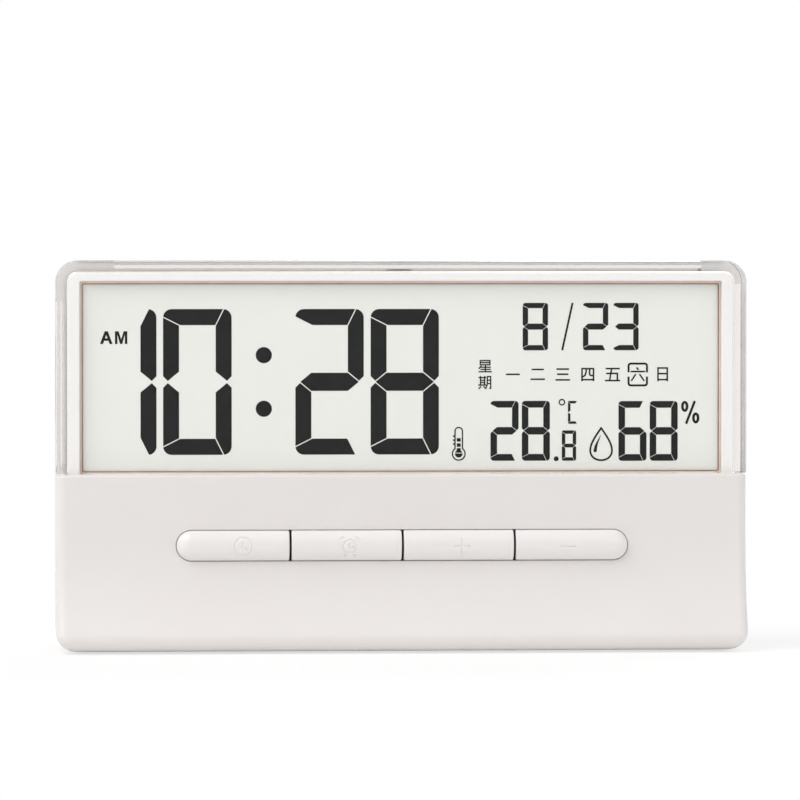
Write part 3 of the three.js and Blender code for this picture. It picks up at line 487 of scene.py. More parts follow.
def inset_loop(points, distance):
    """A closed loop of (y, z) points moved inward along its corners' mean normals."""
    area = sum(a[0] * b[1] - b[0] * a[1] for a, b in zip(points, points[1:] + points[:1]))
    turn = 1 if area > 0 else -1
    moved = []
    for before, here, after in zip(points[-1:] + points[:-1], points, points[1:] + points[:1]):
        along_in = (Vector(here) - Vector(before)).normalized()
        along_out = (Vector(after) - Vector(here)).normalized()
        inward = Vector((-along_in.y - along_out.y, along_in.x + along_out.x)) * turn
        stretch = max(1 + along_in.dot(along_out), 0.3)
        moved.append(tuple(Vector(here) + inward * distance / stretch))
    return moved


def bar_with_round_ends(section, x0, x1, radius):
    """A bar along X whose ends are rounded to the given radius."""
    steps = round_steps(radius, 5)
    ends = [(x0 + drop, draw) for drop, draw in steps] + [(x1 - drop, draw) for drop, draw in reversed(steps)]
    return skin([[(x, y, z) for y, z in inset_loop(section, draw)] for x, draw in ends])


door_round = door_sheet / 2
upper_edge = arc(door_top - door_edge, back_y - door_edge, door_edge, door_edge, 0, math.pi / 2, 5)
door_section = [(door_inner_y, door_top), *[(y, z) for z, y in upper_edge]]
door_section += arc(door_inner_y + door_round, pin_z, door_round, door_round, 0, -math.pi, 12)
door = shape("door_plate", *bar_with_round_ends(door_section, -door_half, door_half, 0.7 * door_edge))
slit_ends = (door_inner_y - overcut, back_y + overcut, tongue_low, door_top + overcut)
cut(door, *[box(x - slit / 2, x + slit / 2, *slit_ends) for x in (-tongue_half, tongue_half)])
grip = opening(tongue_half - grip_margin, grip_low, grip_high, grip_corner)
cut(door, hole(grip, back_face, 1, grip_rim, back_y - grip_depth))
rib_y = back_y - grip_depth - rib_root
ribs = [arc(z, rib_y, rib_wide, rib_high, 0, math.pi, 8) for z in rib_places]
join(
    door,
    *[skin([[(x, y, z) for z, y in rib] for x in (-rib_half, rib_half)]) for rib in ribs],
    *[rod(0, pin_y, pin_z, pin_radius, (side * (door_half - 1), side * pin_end), 20) for side in (-1, 1)],
)
settle(door, white_abs, "white_plastic", "battery_door", body="battery_door")

# Rubber feet: four pale silicone discs, pressed into round sockets under the case. They are dished below, so
# that only a ring grips the table.
foot_rubber = moulded("foot_rubber", (0.76, 0.75, 0.735), (0.69, 0.68, 0.665), (0.7, 0.88), 400, 30, 6)
axis = 0.01


def turned(profile, steps, place):
    """A turned piece from (radius, height) points that start and end on its axis. place(x, y, height) sets
    it where it belongs."""
    return skin([[place(x, y, z) for x, y in circle(0, 0, radius, steps)] for radius, z in profile])


foot_edge, foot_dish = 0.45, [(axis, 0.16), (1.9, 0.14), (2.4, 0.0)]
profile = [*foot_dish, (foot_radius - foot_edge, 0.0)]
profile += [(foot_radius - draw, rise) for rise, draw in round_steps(foot_edge, 5)[1:]]
profile += [(foot_radius, foot_thickness), (axis, foot_thickness)]
foot_places = [(x, y) for x in (-foot_x, foot_x) for y in (foot_front_y, foot_rear_y)]
for i, (x, y) in enumerate(foot_places, 1):
    foot = shape(f"pad_{i}", *turned(profile, 48, lambda px, py, pz: (px + x, py + y, pz)))
    settle(foot, foot_rubber, "foot_rubber", f"rubber_foot_{i}")

# Case screws: zinc-plated steel with a rolled thread, a domed head and a cross recess. They are driven from
# the back, through the sunk holes.
screw_shank, screw_head, screw_head_height, screw_length, screw_y = 1.2, 2.3, 1.6, 8.5, 2.6
thread_start, thread_pitch, thread_turns, thread_root, thread_half = 0.3, 0.66, 9, screw_shank - 0.25, 0.2
neck, head_edge, head_round, recess_depth = 0.1, 0.15, 0.3, 0.5
recess_arms, recess_tapers = ((1.35, 0.32), (0.32, 1.35)), (0.55, 1.1)


def bare_metal(name, colour, shade, roughness, streak):
    """Plated metal: faint streaks in its colour and polish, with a fine scratch relief."""
    finish = moulded(name, colour, shade, roughness, streak, 2, 4)
    feed(finish.node_tree.nodes["Principled BSDF"], {"Metallic": 1.0})
    return finish


plated_steel = bare_metal("plated_steel", (0.62, 0.62, 0.60), (0.50, 0.50, 0.49), (0.22, 0.4), 200)
screw_tip = -screw_length + screw_shank
profile = [(axis, -screw_length), (screw_shank / 2, -screw_length), (screw_shank, screw_tip)]
for i in range(thread_turns):
    root = screw_tip + thread_start + i * thread_pitch
    profile += [(screw_shank, root), (thread_root, root + thread_half), (screw_shank, root + 2 * thread_half)]
profile += [(screw_shank, -neck), (screw_head - head_edge, 0), (screw_head, head_edge)]
profile += arc(0, head_round, screw_head, screw_head_height - head_round, 0, math.pi / 2, 8)[:-1]
profile += [(axis, screw_head_height)]
recess_ends = (screw_y + recess_depth, screw_y + screw_head_height + overcut / 2)
for i, (x, z) in enumerate(screw_places, 1):
    screw = shape(f"screw_{i}", *turned(profile, 32, lambda px, py, pz: (px + x, pz + screw_y, py + z)))
    for arm_x, arm_z in recess_arms:
        recess = [
            [(x + sx * arm_x * k, y, z + sz * arm_z * k) for sx, sz in ((-1, -1), (1, -1), (1, 1), (-1, 1))]
            for y, k in zip(recess_ends, recess_tapers)
        ]
        cut(screw, skin(recess))
    settle(screw, plated_steel, "steel", f"case_screw_{i}")

# Display frame: a white glossy tray behind the clear cover. Its thin rim shows round the display, and its
# top wall has a slot for the cover's snap.
frame_white = moulded("frame_white", (0.97, 0.955, 0.935), (0.96, 0.943, 0.92), (0.3, 0.4), 400, 3)
frame_half, frame_low, frame_high, frame_front_y, frame_rear_y = 67.45, 31.0, 76.75, -12.4, -2.0
frame_edge, frame_sheet, frame_wall, window_edge, square = 0.25, 1.2, 1.0, 0.25, (0.3,) * 4
snap_half, snap_front_y, snap_rear_y, snap_low, snap_gap, snap_span = 2.75, -6.15, -4.65, 75.9, 0.3, (75, 78)
outer = (frame_half, frame_low, frame_high, (2.0,) * 4)
inner = (frame_half - frame_wall, frame_low + frame_wall, frame_high - frame_wall, square)
window = (65.15, 36.0, 75.1, square)
sheet_y = frame_front_y + frame_sheet
rings = [upright_ring(frame_rear_y, *outer)]
for rise, draw in reversed(round_steps(frame_edge, 6)):
    rings.append(upright_ring(frame_front_y + rise, *outer, draw))
for rise, draw in round_steps(window_edge, 5):
    rings.append(upright_ring(frame_front_y + rise, *window, -draw))
rings += [upright_ring(sheet_y, *window), upright_ring(sheet_y, *inner), upright_ring(frame_rear_y, *inner)]
display_frame = shape("display_tray", *skin(rings, looped=True))
slot_half, slot_front_y, slot_rear_y = snap_half + snap_gap, snap_front_y - snap_gap, snap_rear_y + snap_gap
cut(display_frame, box(-slot_half, slot_half, slot_front_y, slot_rear_y, *snap_span))
settle(display_frame, frame_white, "frame_plastic", "lcd_frame")

# Gasket: a die-cut frame of brown foam with a paler tape on its face, between the tray and the display.
# Only a thin line of it shows. The dark brown on its bevel and cut edges is partly the foam's own colour and
# partly painted shade, standing for the shadow along the inner edge.
foam_with_painted_edge_shade = moulded("gasket_foam", (0.33, 0.22, 0.165), (0.22, 0.14, 0.10), (0.85, 0.95), 250, 60, 3)
tape = moulded("gasket_tape", (0.80, 0.66, 0.58), (0.72, 0.58, 0.50), (0.5, 0.65), 300, 5, 4)
gasket_front_y, gasket_rear_y, gasket_slope, gasket_bevel = -11.1, -10.7, 0.15, 0.2
outer, sight = (66.25, 35.2, 75.55, (0.1,) * 4), (64.5, 36.65, 74.45, (0.1,) * 4)
rings = [
    upright_ring(gasket_rear_y, *outer),
    upright_ring(gasket_front_y, *outer),
    upright_ring(gasket_front_y, *sight, -gasket_bevel),
    upright_ring(gasket_front_y + gasket_slope, *sight),
    upright_ring(gasket_rear_y, *sight),
]
gasket = shape("foam_line", *skin(rings, looped=True))
settle(gasket, foam_with_painted_edge_shade, "gasket_foam", "lcd_gasket")
gasket.data.materials.append(tape)
# Faces that don't face straight forward take the dark foam: foam colour, and painted shade on the inner
# bevel.
for face in gasket.data.polygons:
    face.material_index = 1 if face.normal.y < -0.99 else 0

# Display film: the front polariser of a reflective liquid crystal display, pale grey-green and satin, with
# the faint sparkle of the reflector behind it. It is as large as the gasket.
pale_film = moulded("pale_film", (0.90, 0.907, 0.857), (0.89, 0.896, 0.846), (0.5, 0.6), 120, 1.5, 12)
film_front_y, film_rear_y, film_edge = -10.6, -10.4, 0.05
half, low, high, radii = outer
rings = [
    upright_ring(film_rear_y, *outer),
    upright_ring(film_front_y + film_edge, *outer),
    upright_ring(film_front_y, half - film_edge, low + film_edge, high - film_edge, radii),
]
settle(shape("display_face", *skin(rings)), pale_film, "display_film", "lcd_film")

# Display figures: dark liquid-crystal bars and signs in front of the film, with the hairline gaps between
# the bars' electrodes. They show the time, the date, the weekday, the temperature and the humidity.
ink = moulded("display_ink", (0.019, 0.021, 0.020), (0.016, 0.018, 0.017), (0.6, 0.75), 120, 1, 4)
feed(ink.node_tree.nodes["Principled BSDF"], {"Specular IOR Level": 0.1})
ink_front_y, ink_rear_y, figures_left = film_front_y - 0.03, film_front_y + 0.01, 0.09


def clip(outline, point, normal):
    """The part of a convex outline on the side of a line that its normal points to."""
    kept = []
    for a, b in zip(outline, outline[1:] + outline[:1]):
        da = (a[0] - point[0]) * normal[0] + (a[1] - point[1]) * normal[1]
        db = (b[0] - point[0]) * normal[0] + (b[1] - point[1]) * normal[1]
        if da >= 0:
            kept.append(a)
        if (da < 0) != (db < 0):
            t = da / (da - db)
            kept.append((a[0] + t * (b[0] - a[0]), a[1] + t * (b[1] - a[1])))
    return kept


def plate(outline, front=ink_front_y, rear=ink_rear_y):
    """A thin plate with a flat outline in X and Z."""
    return skin([[(x, y, z) for x, z in outline] for y in (front, rear)])


def across(first, second, gap):
    """A line's two sides, each half a gap away, as (point, normal) pairs on the left and right of it."""
    run = Vector(second) - Vector(first)
    left = Vector((-run.y, run.x)).normalized()
    return (Vector(first) + left * gap / 2, left), (Vector(first) - left * gap / 2, -left)


bars_of = {"0": "abcdef", "1": "bc", "2": "abged", "3": "abgcd", "6": "acdefg", "8": "abcdefg", "C": "adef"}


def number(sign, left, bottom, width, height, upright, level, waist, gap):
    """The lit bars of one seven-bar figure, as plates. Upright, level and waist are the bars' widths."""
    middle, tip, radius = height / 2, 0.31 * upright, 0.53 * upright
    under, over = middle - waist / 2, middle + waist / 2
    whole = rounded_ring(0, width, 0, height, (radius,) * 4, 6)
    top_left, under_left = across((0, height - level / 2), (upright, height - level), gap)
    top_right, under_right = across((width - upright, height - level), (width - upright / 2, height), gap)
    over_waist = across((tip, middle), (tip + (upright - tip), over), 2 * gap)[0]
    shoulder = ((tip, middle + 0.8 * gap), (1, 1))

    def flip(half_plane):
        (x, z), (nx, nz) = half_plane
        return (width - x, z), (-nx, nz)

    def mirror(outline):
        return [(x, height - z) for x, z in reversed(outline)]

    def within(*half_planes):
        outline = whole
        for point, normal in half_planes:
            outline = clip(outline, point, normal)
        return outline

    bars = {
        "a": within(((0, height - level), (0, 1)), top_left, top_right),
        "f": within(((upright, 0), (-1, 0)), under_left, over_waist, shoulder),
        "b": within(((width - upright, 0), (1, 0)), under_right, flip(over_waist), flip(shoulder)),
        "g": [
            (tip, middle), (upright, under), (width - upright, under),
            (width - tip, middle), (width - upright, over), (upright, over),
        ],
    }
    bars["d"], bars["e"], bars["c"] = mirror(bars["a"]), mirror(bars["f"]), mirror(bars["b"])
    return [plate([(left + x, bottom + z) for x, z in bars[name]]) for name in bars_of[sign]]


def stroke(
    line, widths, closed=False, front=lambda x, z: ink_front_y, rear=lambda x, z: ink_rear_y, narrowing=1
):
    """A line with a width, or a width for each point, as a thin solid between two surfaces. Its rear face may
    be narrower than its front, by a share of the width."""
    line = [Vector(p) for p in line]
    count = len(line)
    widths = widths if isinstance(widths, list) else [widths] * count
    rings = []
    for i, here in enumerate(line):
        before = line[i - 1] if i or closed else here
        after = line[(i + 1) % count] if i + 1 < count or closed else here
        into, out = here - before, after - here
        into = into.normalized() if into.length else out.normalized()
        out = out.normalized() if out.length else into
        across_line = Vector((-into.y - out.y, into.x + out.x)) / max(1 + into.dot(out), 0.4)
        side = across_line * widths[i] / 2
        wide, narrow = (here + side, here - side), (here - side * narrowing, here + side * narrowing)
        rings.append([(p.x, front(*p), p.y) for p in wide] + [(p.x, rear(*p), p.y) for p in narrow])
    return skin(rings, looped=closed)


def show(name, *parts):
    points, faces = merged(*parts)
    made = shape(name, [(x - figures_left, y, z) for x, y, z in points], faces)
    settle(made, ink, "display_ink")


def numbers(text, lefts, bottom, sizes):
    return [bar for sign, left in zip(text, lefts) for bar in number(sign, left, bottom, *sizes)]


# Each size of figure has its width and height, the widths of its upright, level and waist bars, and a gap.
time_size = (13.86, 29.5, 3.22, 3.24, 3.66, 0.21)
date_size = (5.15, 9.62, 1.09, 1.05, 1.22, 0.09)
climate_size = (5.71, 12.15, 1.33, 1.36, 1.52, 0.1)
tenth_size = (2.91, 6.16, 0.69, 0.69, 0.76, 0.08)
unit_size = (2.09, 4.65, 0.5, 0.5, 0.5, 0.07)
show(
    "time_figures",
    *numbers("1028", (-63.39, -48.18, -21.4, -6.13), 39.94, time_size),
    *[plate(circle(-27.8, z, 1.64)) for z in (49.25, 60.11)],
)
letter_a = [
    [(0, 0), (0.6, 0), (1.29, 1.9), (1.29, 2.58), (0.95, 2.58)],
    [(2.54, 0), (1.59, 2.58), (1.25, 2.58), (1.25, 1.9), (1.94, 0)],
    [(0.75, 0.66), (1.79, 0.66), (1.6, 1.14), (0.94, 1.14)],
]
letter_m = [(0, 0), (0.5, 0), (0.5, 1.9), (1.02, 0), (1.47, 0), (1.99, 1.9), (1.99, 0)]
letter_m += [(2.49, 0), (2.49, 2.58), (1.75, 2.58), (1.245, 0.95), (0.74, 2.58), (0, 2.58)]
show(
    "half_day_sign",
    *[plate([(x - 60.93, z + 62.39) for x, z in outline]) for outline in letter_a],
    plate([(x - 57.9, z + 62.39) for x, z in letter_m]),
)
show(
    "date_figures",
    *numbers("823", (24.79, 37.07, 43.27), 61.04, date_size),
    stroke([(32.84, 61.04), (34.94, 70.67)], 0.4),
)
week_width, label_width, box_width = 0.32, 0.26, 0.41
week_lines = [
    [(21.35, 56.16), (24.22, 56.16)], [(26.61, 57.15), (29.09, 57.15)], [(26.4, 55.16), (29.32, 55.16)],
    [(31.66, 57.22), (34.23, 57.22)], [(31.79, 56.17), (34.09, 56.17)], [(31.48, 55.03), (34.42, 55.03)],
    [(36.88, 54.74), (36.88, 57.3), (39.23, 57.3), (39.23, 54.74)], [(36.88, 55.06), (39.23, 55.06)],
    [(37.74, 57.2), (37.72, 56.6), (37.5, 55.95), (37.05, 55.62)],
    [(38.43, 57.2), (38.43, 56.15), (38.6, 55.93), (39.15, 55.88)],
    [(41.7, 57.31), (44.58, 57.31)], [(41.8, 56.32), (44.09, 56.32), (44.09, 54.95)],
    [(41.56, 54.87), (44.68, 54.87)], [(42.91, 57.25), (42.52, 54.9)], [(48.03, 57.54), (48.4, 57.02)],
    [(46.79, 56.7), (49.77, 56.7)], [(47.85, 56.18), (46.93, 54.79)], [(48.6, 56.18), (49.59, 54.79)],
    [(52.39, 54.72), (52.39, 57.42), (54.28, 57.42), (54.28, 54.72)],
    [(52.39, 56.27), (54.28, 56.27)], [(52.39, 55.06), (54.28, 55.06)],
]
label_lines = [
    [(16.16, 58.02), (16.16, 58.97), (18.12, 58.97), (18.12, 58.02)],
    [(16.16, 58.56), (18.12, 58.56)], [(16.16, 58.12), (18.12, 58.12)], [(16.4, 57.95), (15.86, 57.26)],
    [(16.25, 57.62), (18.3, 57.62)], [(16.2, 57.18), (18.3, 57.18)], [(15.81, 56.7), (18.5, 56.7)],
    [(17.2, 58.1), (17.2, 56.7)], [(16.2, 55.85), (16.2, 54.0)], [(17.05, 55.85), (17.05, 54.0)],
    [(15.8, 55.5), (17.36, 55.5)], [(16.2, 54.97), (17.05, 54.97)], [(16.2, 54.5), (17.05, 54.5)],
    [(15.74, 54.0), (17.38, 54.0)], [(16.32, 53.75), (15.82, 53.2)], [(16.82, 53.75), (17.3, 53.2)],
    [(18.0, 53.26), (18.27, 53.36), (18.27, 55.72), (17.6, 55.72), (17.58, 54.2), (17.3, 53.3)],
    [(17.6, 54.98), (18.27, 54.98)], [(17.6, 54.3), (18.27, 54.3)],
]
box_low, box_high, box_left, box_right, box_round = 53.915, 58.315, 46.385, 50.135, 0.45
box_end, box_middle, box_rise = 56.53, 56.085, 0.03
box_ring = rounded_ring(box_left, box_right, box_low, box_high, (box_round,) * 4, 5)
box_top = [(box_right, box_end), *[p for p in box_ring if p[1] > box_end], (box_left, box_end)]
box_bottom = [(x, 2 * box_middle - z + box_rise) for x, z in box_top]
show(
    "weekday_signs",
    *[stroke(line, week_width) for line in week_lines],
    *[stroke(line, label_width) for line in label_lines],
    *[stroke(line, box_width) for line in (box_top, box_bottom)],
)
tube_x, tube_half, tube_top, bulb_z, bulb_radius, outline_width = 11.775, 0.755, 44.645, 40.05, 1.29, 0.265
filling_radius, level_low, level_high = 0.77, 40.12, 40.27
mercury_left, mercury_right, square_high = 11.38, 12.17, 0.71
shoulder_turn = math.asin(tube_half / bulb_radius)
bulb_start, bulb_sweep = math.pi / 2 + shoulder_turn, 2 * math.pi - 2 * shoulder_turn
thermometer = arc(tube_x, tube_top, tube_half, tube_half, 0, math.pi, 12)
thermometer += arc(tube_x, bulb_z, bulb_radius, bulb_radius, bulb_start, bulb_sweep, 28)
filling = circle(tube_x, bulb_z, filling_radius)


def mercury(low, high):
    return plate([(mercury_left, low), (mercury_right, low), (mercury_right, high), (mercury_left, high)])


show(
    "temperature_figures",
    *numbers("28", (18.24, 24.62), 38.62, climate_size),
    *numbers("8", (32.78,), 38.6, tenth_size),
    *numbers("C", (34.02,), 46.1, unit_size),
    plate(circle(31.63, 39.0, 0.5)),
    stroke(circle(32.79, 50.49, 0.55, 28), 0.26, closed=True),
    stroke(thermometer, outline_width, closed=True),
    plate(clip(filling, (0, level_low), (0, -1))),
    plate(clip(filling, (0, level_high), (0, 1))),
    mercury(40.62, 41.2),
    *[mercury(z, z + square_high) for z in (41.46, 42.53)],
    *[stroke([(10.62, z), (10.93, z)], 0.36) for z in (43.62, 42.82, 42.03)],
)
drop_x, drop_z, drop_wide, drop_high, drop_line, drop_tip = 40.79, 41.99, 3.05, 3.3, 0.38, 0.22
drop_turns = [drop_tip + (2 * math.pi - 2 * drop_tip) * i / 55 for i in range(56)]
drop_widths = [drop_wide * math.sin(a) * math.sin(a / 2) ** 1.3 for a in drop_turns]
drop_outline = [(drop_x + wide, drop_z + drop_high * math.cos(a)) for wide, a in zip(drop_widths, drop_turns)]
glint = [(40.7, 43.8), (40.4, 43.1), (39.98, 42.2), (39.7, 41.4), (39.57, 40.6), (39.57, 40.3)]
percent_rings = [arc(x, z, 0.48, 0.86, 0, 2 * math.pi, 28)[:-1] for x, z in ((57.86, 49.6), (60.12, 47.24))]
show(
    "humidity_figures",
    *numbers("68", (44.33, 50.71), 38.55, climate_size),
    stroke(drop_outline, drop_line, closed=True),
    stroke(glint, [0.05, 0.22, 0.38, 0.55, 0.68, 0.4]),
    *[stroke(ring, 0.53, closed=True) for ring in percent_rings],
    stroke([(58.14, 46.06), (59.92, 50.7)], 0.5),
)

# Clear cover: a polished tray of clear polystyrene over the display, with its own top and side walls.
# It stands on the base's top edge, and a snap under its top wall holds the display tray.
cover_front_y, cover_rear_y, cover_low, cover_sheet, cover_wall = -14.7, -1.65, 36.15, 2.0, 2.2
cover_edge, cover_fillet, cover_foot, cover_rim, cover_low_round, snap_root = 0.35, 0.45, 0.15, 0.3, 0.2, 0.2


def cover_ring(y, inset, low, low_round):
    half, high, crown = half_width - inset, body_height - inset, crown_round - inset
    return upright_ring(y, half, low, high, (low_round, low_round, crown, crown), steps=12)


rings = []
for rise, draw in round_steps(cover_edge, 8):
    low = cover_low + min(draw, cover_foot)
    rings.append(cover_ring(cover_front_y + rise, draw, low, cover_low_round))
for rise, draw in reversed(round_steps(cover_rim, 6)):
    rings.append(cover_ring(cover_rear_y - rise, draw, cover_low, cover_low_round))
cover = shape("clear_tray", *skin(rings))
hollow_y, hollow_low = cover_front_y + cover_sheet, cover_low - overcut
rings = []
for rise, draw in round_steps(cover_fillet, 6):
    rings.append(cover_ring(hollow_y + rise, cover_wall + draw, hollow_low, 0))
rings.append(cover_ring(cover_rear_y + overcut, cover_wall, hollow_low, 0))
cut(cover, skin(rings))

# Each wall is thinner behind a bevelled step. A step has a depth, a bevel and two ends, in X or in Z.
step_y = -8.5
top_step = (1.2, 0.6, (-58.1, 61.2))
side_steps = {-1: (1.2, 0.35, (cover_low + 1.6, 71.0)), 1: (1.5, 1.2, (hollow_low, 74.5))}
inner_half, inner_high = half_width - cover_wall, body_height - cover_wall


def step_section(deep, bevel):
    """Y and depth round a step's cutter."""
    rear, inside = cover_rear_y + overcut, -0.5
    return [(step_y, inside), (step_y, deep - bevel), (step_y + bevel, deep), (rear, deep), (rear, inside)]


deep, bevel, ends = top_step
cutters = [skin([[(x, y, inner_high + depth) for y, depth in step_section(deep, bevel)] for x in ends])]
snap_high = inner_high + deep + snap_root
for side, (deep, bevel, ends) in side_steps.items():
    section = [(side * (inner_half + depth), y) for y, depth in step_section(deep, bevel)]
    cutters.append(skin([[(x, y, z) for x, y in section] for z in ends]))
cut(cover, *cutters)
join(cover, box(-snap_half, snap_half, snap_front_y, snap_rear_y, snap_low, snap_high))
clear_plastic, tree, glass = finish_of("clear_polystyrene")
place = node_of(tree, "TexCoord").outputs["Object"]
smears = node_of(tree, "TexNoise", place, Scale=120.0, Detail=5.0, Roughness=0.6).outputs["Fac"]
haze = node_of(tree, "MapRange", smears, 0.35, 0.75, 0.0, 0.012).outputs[0]
feed(glass, {"Base Color": (1, 1, 1, 1), "Transmission Weight": 1.0, "IOR": 1.5, "Roughness": haze})
clear, path = glass.outputs[0], node_of(tree, "LightPath").outputs
open_air = node_of(tree, "BsdfTransparent").outputs[0]
for ray in ("Is Diffuse Ray", "Is Shadow Ray"):
    clear = node_of(tree, "MixShader", path[ray], clear, open_air).outputs[0]
feed(tree.nodes["Material Output"], {0: clear})
settle(cover, clear_plastic, "clear_plastic", "clear_cover")

# Keys: four glossy white caps cut from one domed pill, each with a flange behind the panel and a stem that
# meets its switch. Their signs are engraved: a clock, an alarm clock, a plus and a minus.
key_white = moulded("key_white", (0.82, 0.80, 0.785), (0.815, 0.794, 0.778), (0.26, 0.27), 300, 3)
key_crown, key_edge, key_overlap, key_straight = 2.2, 0.3, 0.3, key_half_row - key_radius
flange_front_y, flange_rear_y, flange_over, flange_corner = -12.65, -11.75, 1.2, 0.1
flange_tall = key_radius + flange_over
flange_round = flange_tall * 0.95
stem_radius, stem_end_y, sign_z = 1.7, -9.8, 21.55
groove_depth, groove_width, groove_over, groove_narrowing = 0.2, 0.9, 0.15, 0.12


def dome(x, z):
    """Y of the row of keys' domed face."""
    away = math.hypot(max(abs(x) - key_straight, 0), z - key_height)
    return panel_y - key_crown * math.sqrt(max(1 - (away / key_radius) ** 2, 0))


def key_section(scale, inset):
    """Y and Z round a key's section."""
    wide, high = key_radius * scale - inset, key_crown * scale - inset
    root = flange_front_y + key_overlap
    face = arc(panel_y, key_height, -high, wide, -math.pi / 2, math.pi, 56)
    return [*face, (root, key_height + wide), (root, key_height - wide)]


def key_rings(left, right):
    """Sections along a key: flat ends have a small round, and the row's own ends run out in a dome."""
    steps = round_steps(key_edge, 5)
    turns = [math.pi / 2 * i / 16 for i in range(17)]
    domed = [(key_straight + key_radius * math.sin(a), max(math.cos(a), 0.001), 0) for a in turns]
    if left <= -key_half_row:
        places = [(-x, scale, inset) for x, scale, inset in reversed(domed)]
    else:
        places = [(left + drop, 1, draw) for drop, draw in steps]
    if right >= key_half_row:
        places += domed
    else:
        places += [(right - drop, 1, draw) for drop, draw in reversed(steps)]
    return [[(x, y, z) for y, z in key_section(scale, draw)] for x, scale, draw in places]


def finer(line, step=0.4):
    """The same line with points no further apart than a step."""
    points = [Vector(line[0])]
    for p in map(Vector, line[1:]):
        start, run = points[-1], p - points[-1]
        count = max(1, math.ceil(run.length / step))
        points += [start + run * (i + 1) / count for i in range(count)]
    return points


def groove(line, closed=False):
    """A cutter for an engraved line with sloping sides."""
    return stroke(
        line if closed else finer(line), groove_width, closed,
        lambda x, z: dome(x, z) - groove_over, lambda x, z: dome(x, z) + groove_depth, groove_narrowing,
    )


# Each key has its two ends in X, its sign's place in X, the sign's circles as (rise, radius, steps) and its
# lines about that place.
key_table = {
    "time_key": (
        -key_half_row, -22.925, -32.24,
        [(0, 1.75, 40)],
        [[(-0.1, 1.05), (-0.1, -0.3)], [(-0.05, -0.05), (0.85, -0.6)]],
    ),
    "alarm_key": (
        -22.475, -0.225, -10.72,
        [(-0.05, 1.3, 36)],
        [
            [(0, 0.75), (0, -0.45)], [(0.1, -0.2), (0.75, -0.2)],
            [(-2.0, 1.15), (-1.75, 1.6), (-1.15, 1.8)], [(2.0, 1.15), (1.75, 1.6), (1.15, 1.8)],
            [(-0.72, -1.45), (-0.98, -1.85)], [(0.72, -1.45), (0.98, -1.85)],
        ],
    ),
    "plus_key": (0.225, 22.475, 11.94, [], [[(-1.6, 0), (1.6, 0)], [(0, -1.6), (0, 1.6)]]),
    "minus_key": (22.925, key_half_row, 33.44, [], [[(-1.65, -0.2), (1.65, -0.2)]]),
}
stem_ends = (flange_rear_y - key_overlap, stem_end_y)
for name, (left, right, sign_x, circles, lines) in key_table.items():
    key = shape(name + "_cap", *skin(key_rings(left, right)))
    first, last = left <= -key_half_row, right >= key_half_row
    left_round, right_round = [flange_round if end else flange_corner for end in (first, last)]
    flange = rounded_ring(
        left - flange_over * first, right + flange_over * last, key_height - flange_tall,
        key_height + flange_tall, (left_round, right_round, right_round, left_round),
    )
    join(key, plate(flange, flange_front_y, flange_rear_y))
    join(key, rod(1, (left + right) / 2, key_height, stem_radius, stem_ends, 24))
    for rise, radius, steps in circles:
        cut(key, groove(circle(sign_x, sign_z + rise, radius, steps), True))
    for line in lines:
        cut(key, groove([(sign_x + x, sign_z + z) for x, z in line]))
    settle(key, key_white, "key_plastic", name, body=name)

# Battery cells: two AAA cells, steel cans in printed shrink jackets, with bare ends and a pip. They lie head
# to tail in the bay.
cell_y, cell_radius, cell_length, pip_radius, pip_length, pip_edge = 12.35, 5.25, 44.5, 1.9, 1.0, 0.25
cell_start, jacket_edge, band_length, bare_radius = -18.85, 0.5, 9.0, 4.3
cell_rows = (("upper", 21.35, 1), ("lower", 10.05, -1))
jacket, tree, surface = finish_of("cell_jacket")
place = node_of(tree, "TexCoord").outputs["Object"]
fibres = node_of(tree, "TexNoise", place, Scale=900.0, Detail=3.0).outputs["Fac"]
printed = two_tones(tree, fibres, (0, 1), ((0.035, 0.055, 0.08), (0.05, 0.075, 0.105)))
feed(surface, {"Base Color": printed, "Roughness": 0.32, "Coat Weight": 0.3})
silver_band = bare_metal("cell_band", (0.66, 0.66, 0.65), (0.58, 0.58, 0.57), (0.2, 0.34), 300)
shoulder_x = cell_length - pip_length
flat_end = [(axis, 0.25), (3.9, 0.25), (4.2, 0.0)]
pip_end = [(3.9, shoulder_x - 0.05), (3.7, shoulder_x - 0.3), (2.3, shoulder_x - 0.3)]
can_edge = [(cell_radius - draw, rise) for rise, draw in round_steps(jacket_edge, 5)]
profile = [*flat_end, (cell_radius - jacket_edge, 0.0), *can_edge[1:]]
profile += [(cell_radius, shoulder_x - band_length), (cell_radius, shoulder_x - jacket_edge)]
profile += [(radius, shoulder_x - rise) for radius, rise in reversed(can_edge[:-1])]
profile += [*pip_end, (pip_radius, shoulder_x), (pip_radius, cell_length - pip_edge)]
profile += [(pip_radius - pip_edge, cell_length), (axis, cell_length)]
for row, z, way in cell_rows:
    can = turned(profile, 56, lambda px, py, pz: (way * (pz + cell_start), py + cell_y, px + z))
    cell = shape(row + "_cell_can", *can)
    settle(cell, jacket, "cell_jacket", row + "_cell")
    cell.data.materials.append(silver_band)
    for face in cell.data.polygons:
        along = way * face.center.x / MM - cell_start
        out = math.hypot(face.center.y / MM - cell_y, face.center.z / MM - z)
        face.material_index = 1 if along > shoulder_x - band_length or out < bare_radius else 0

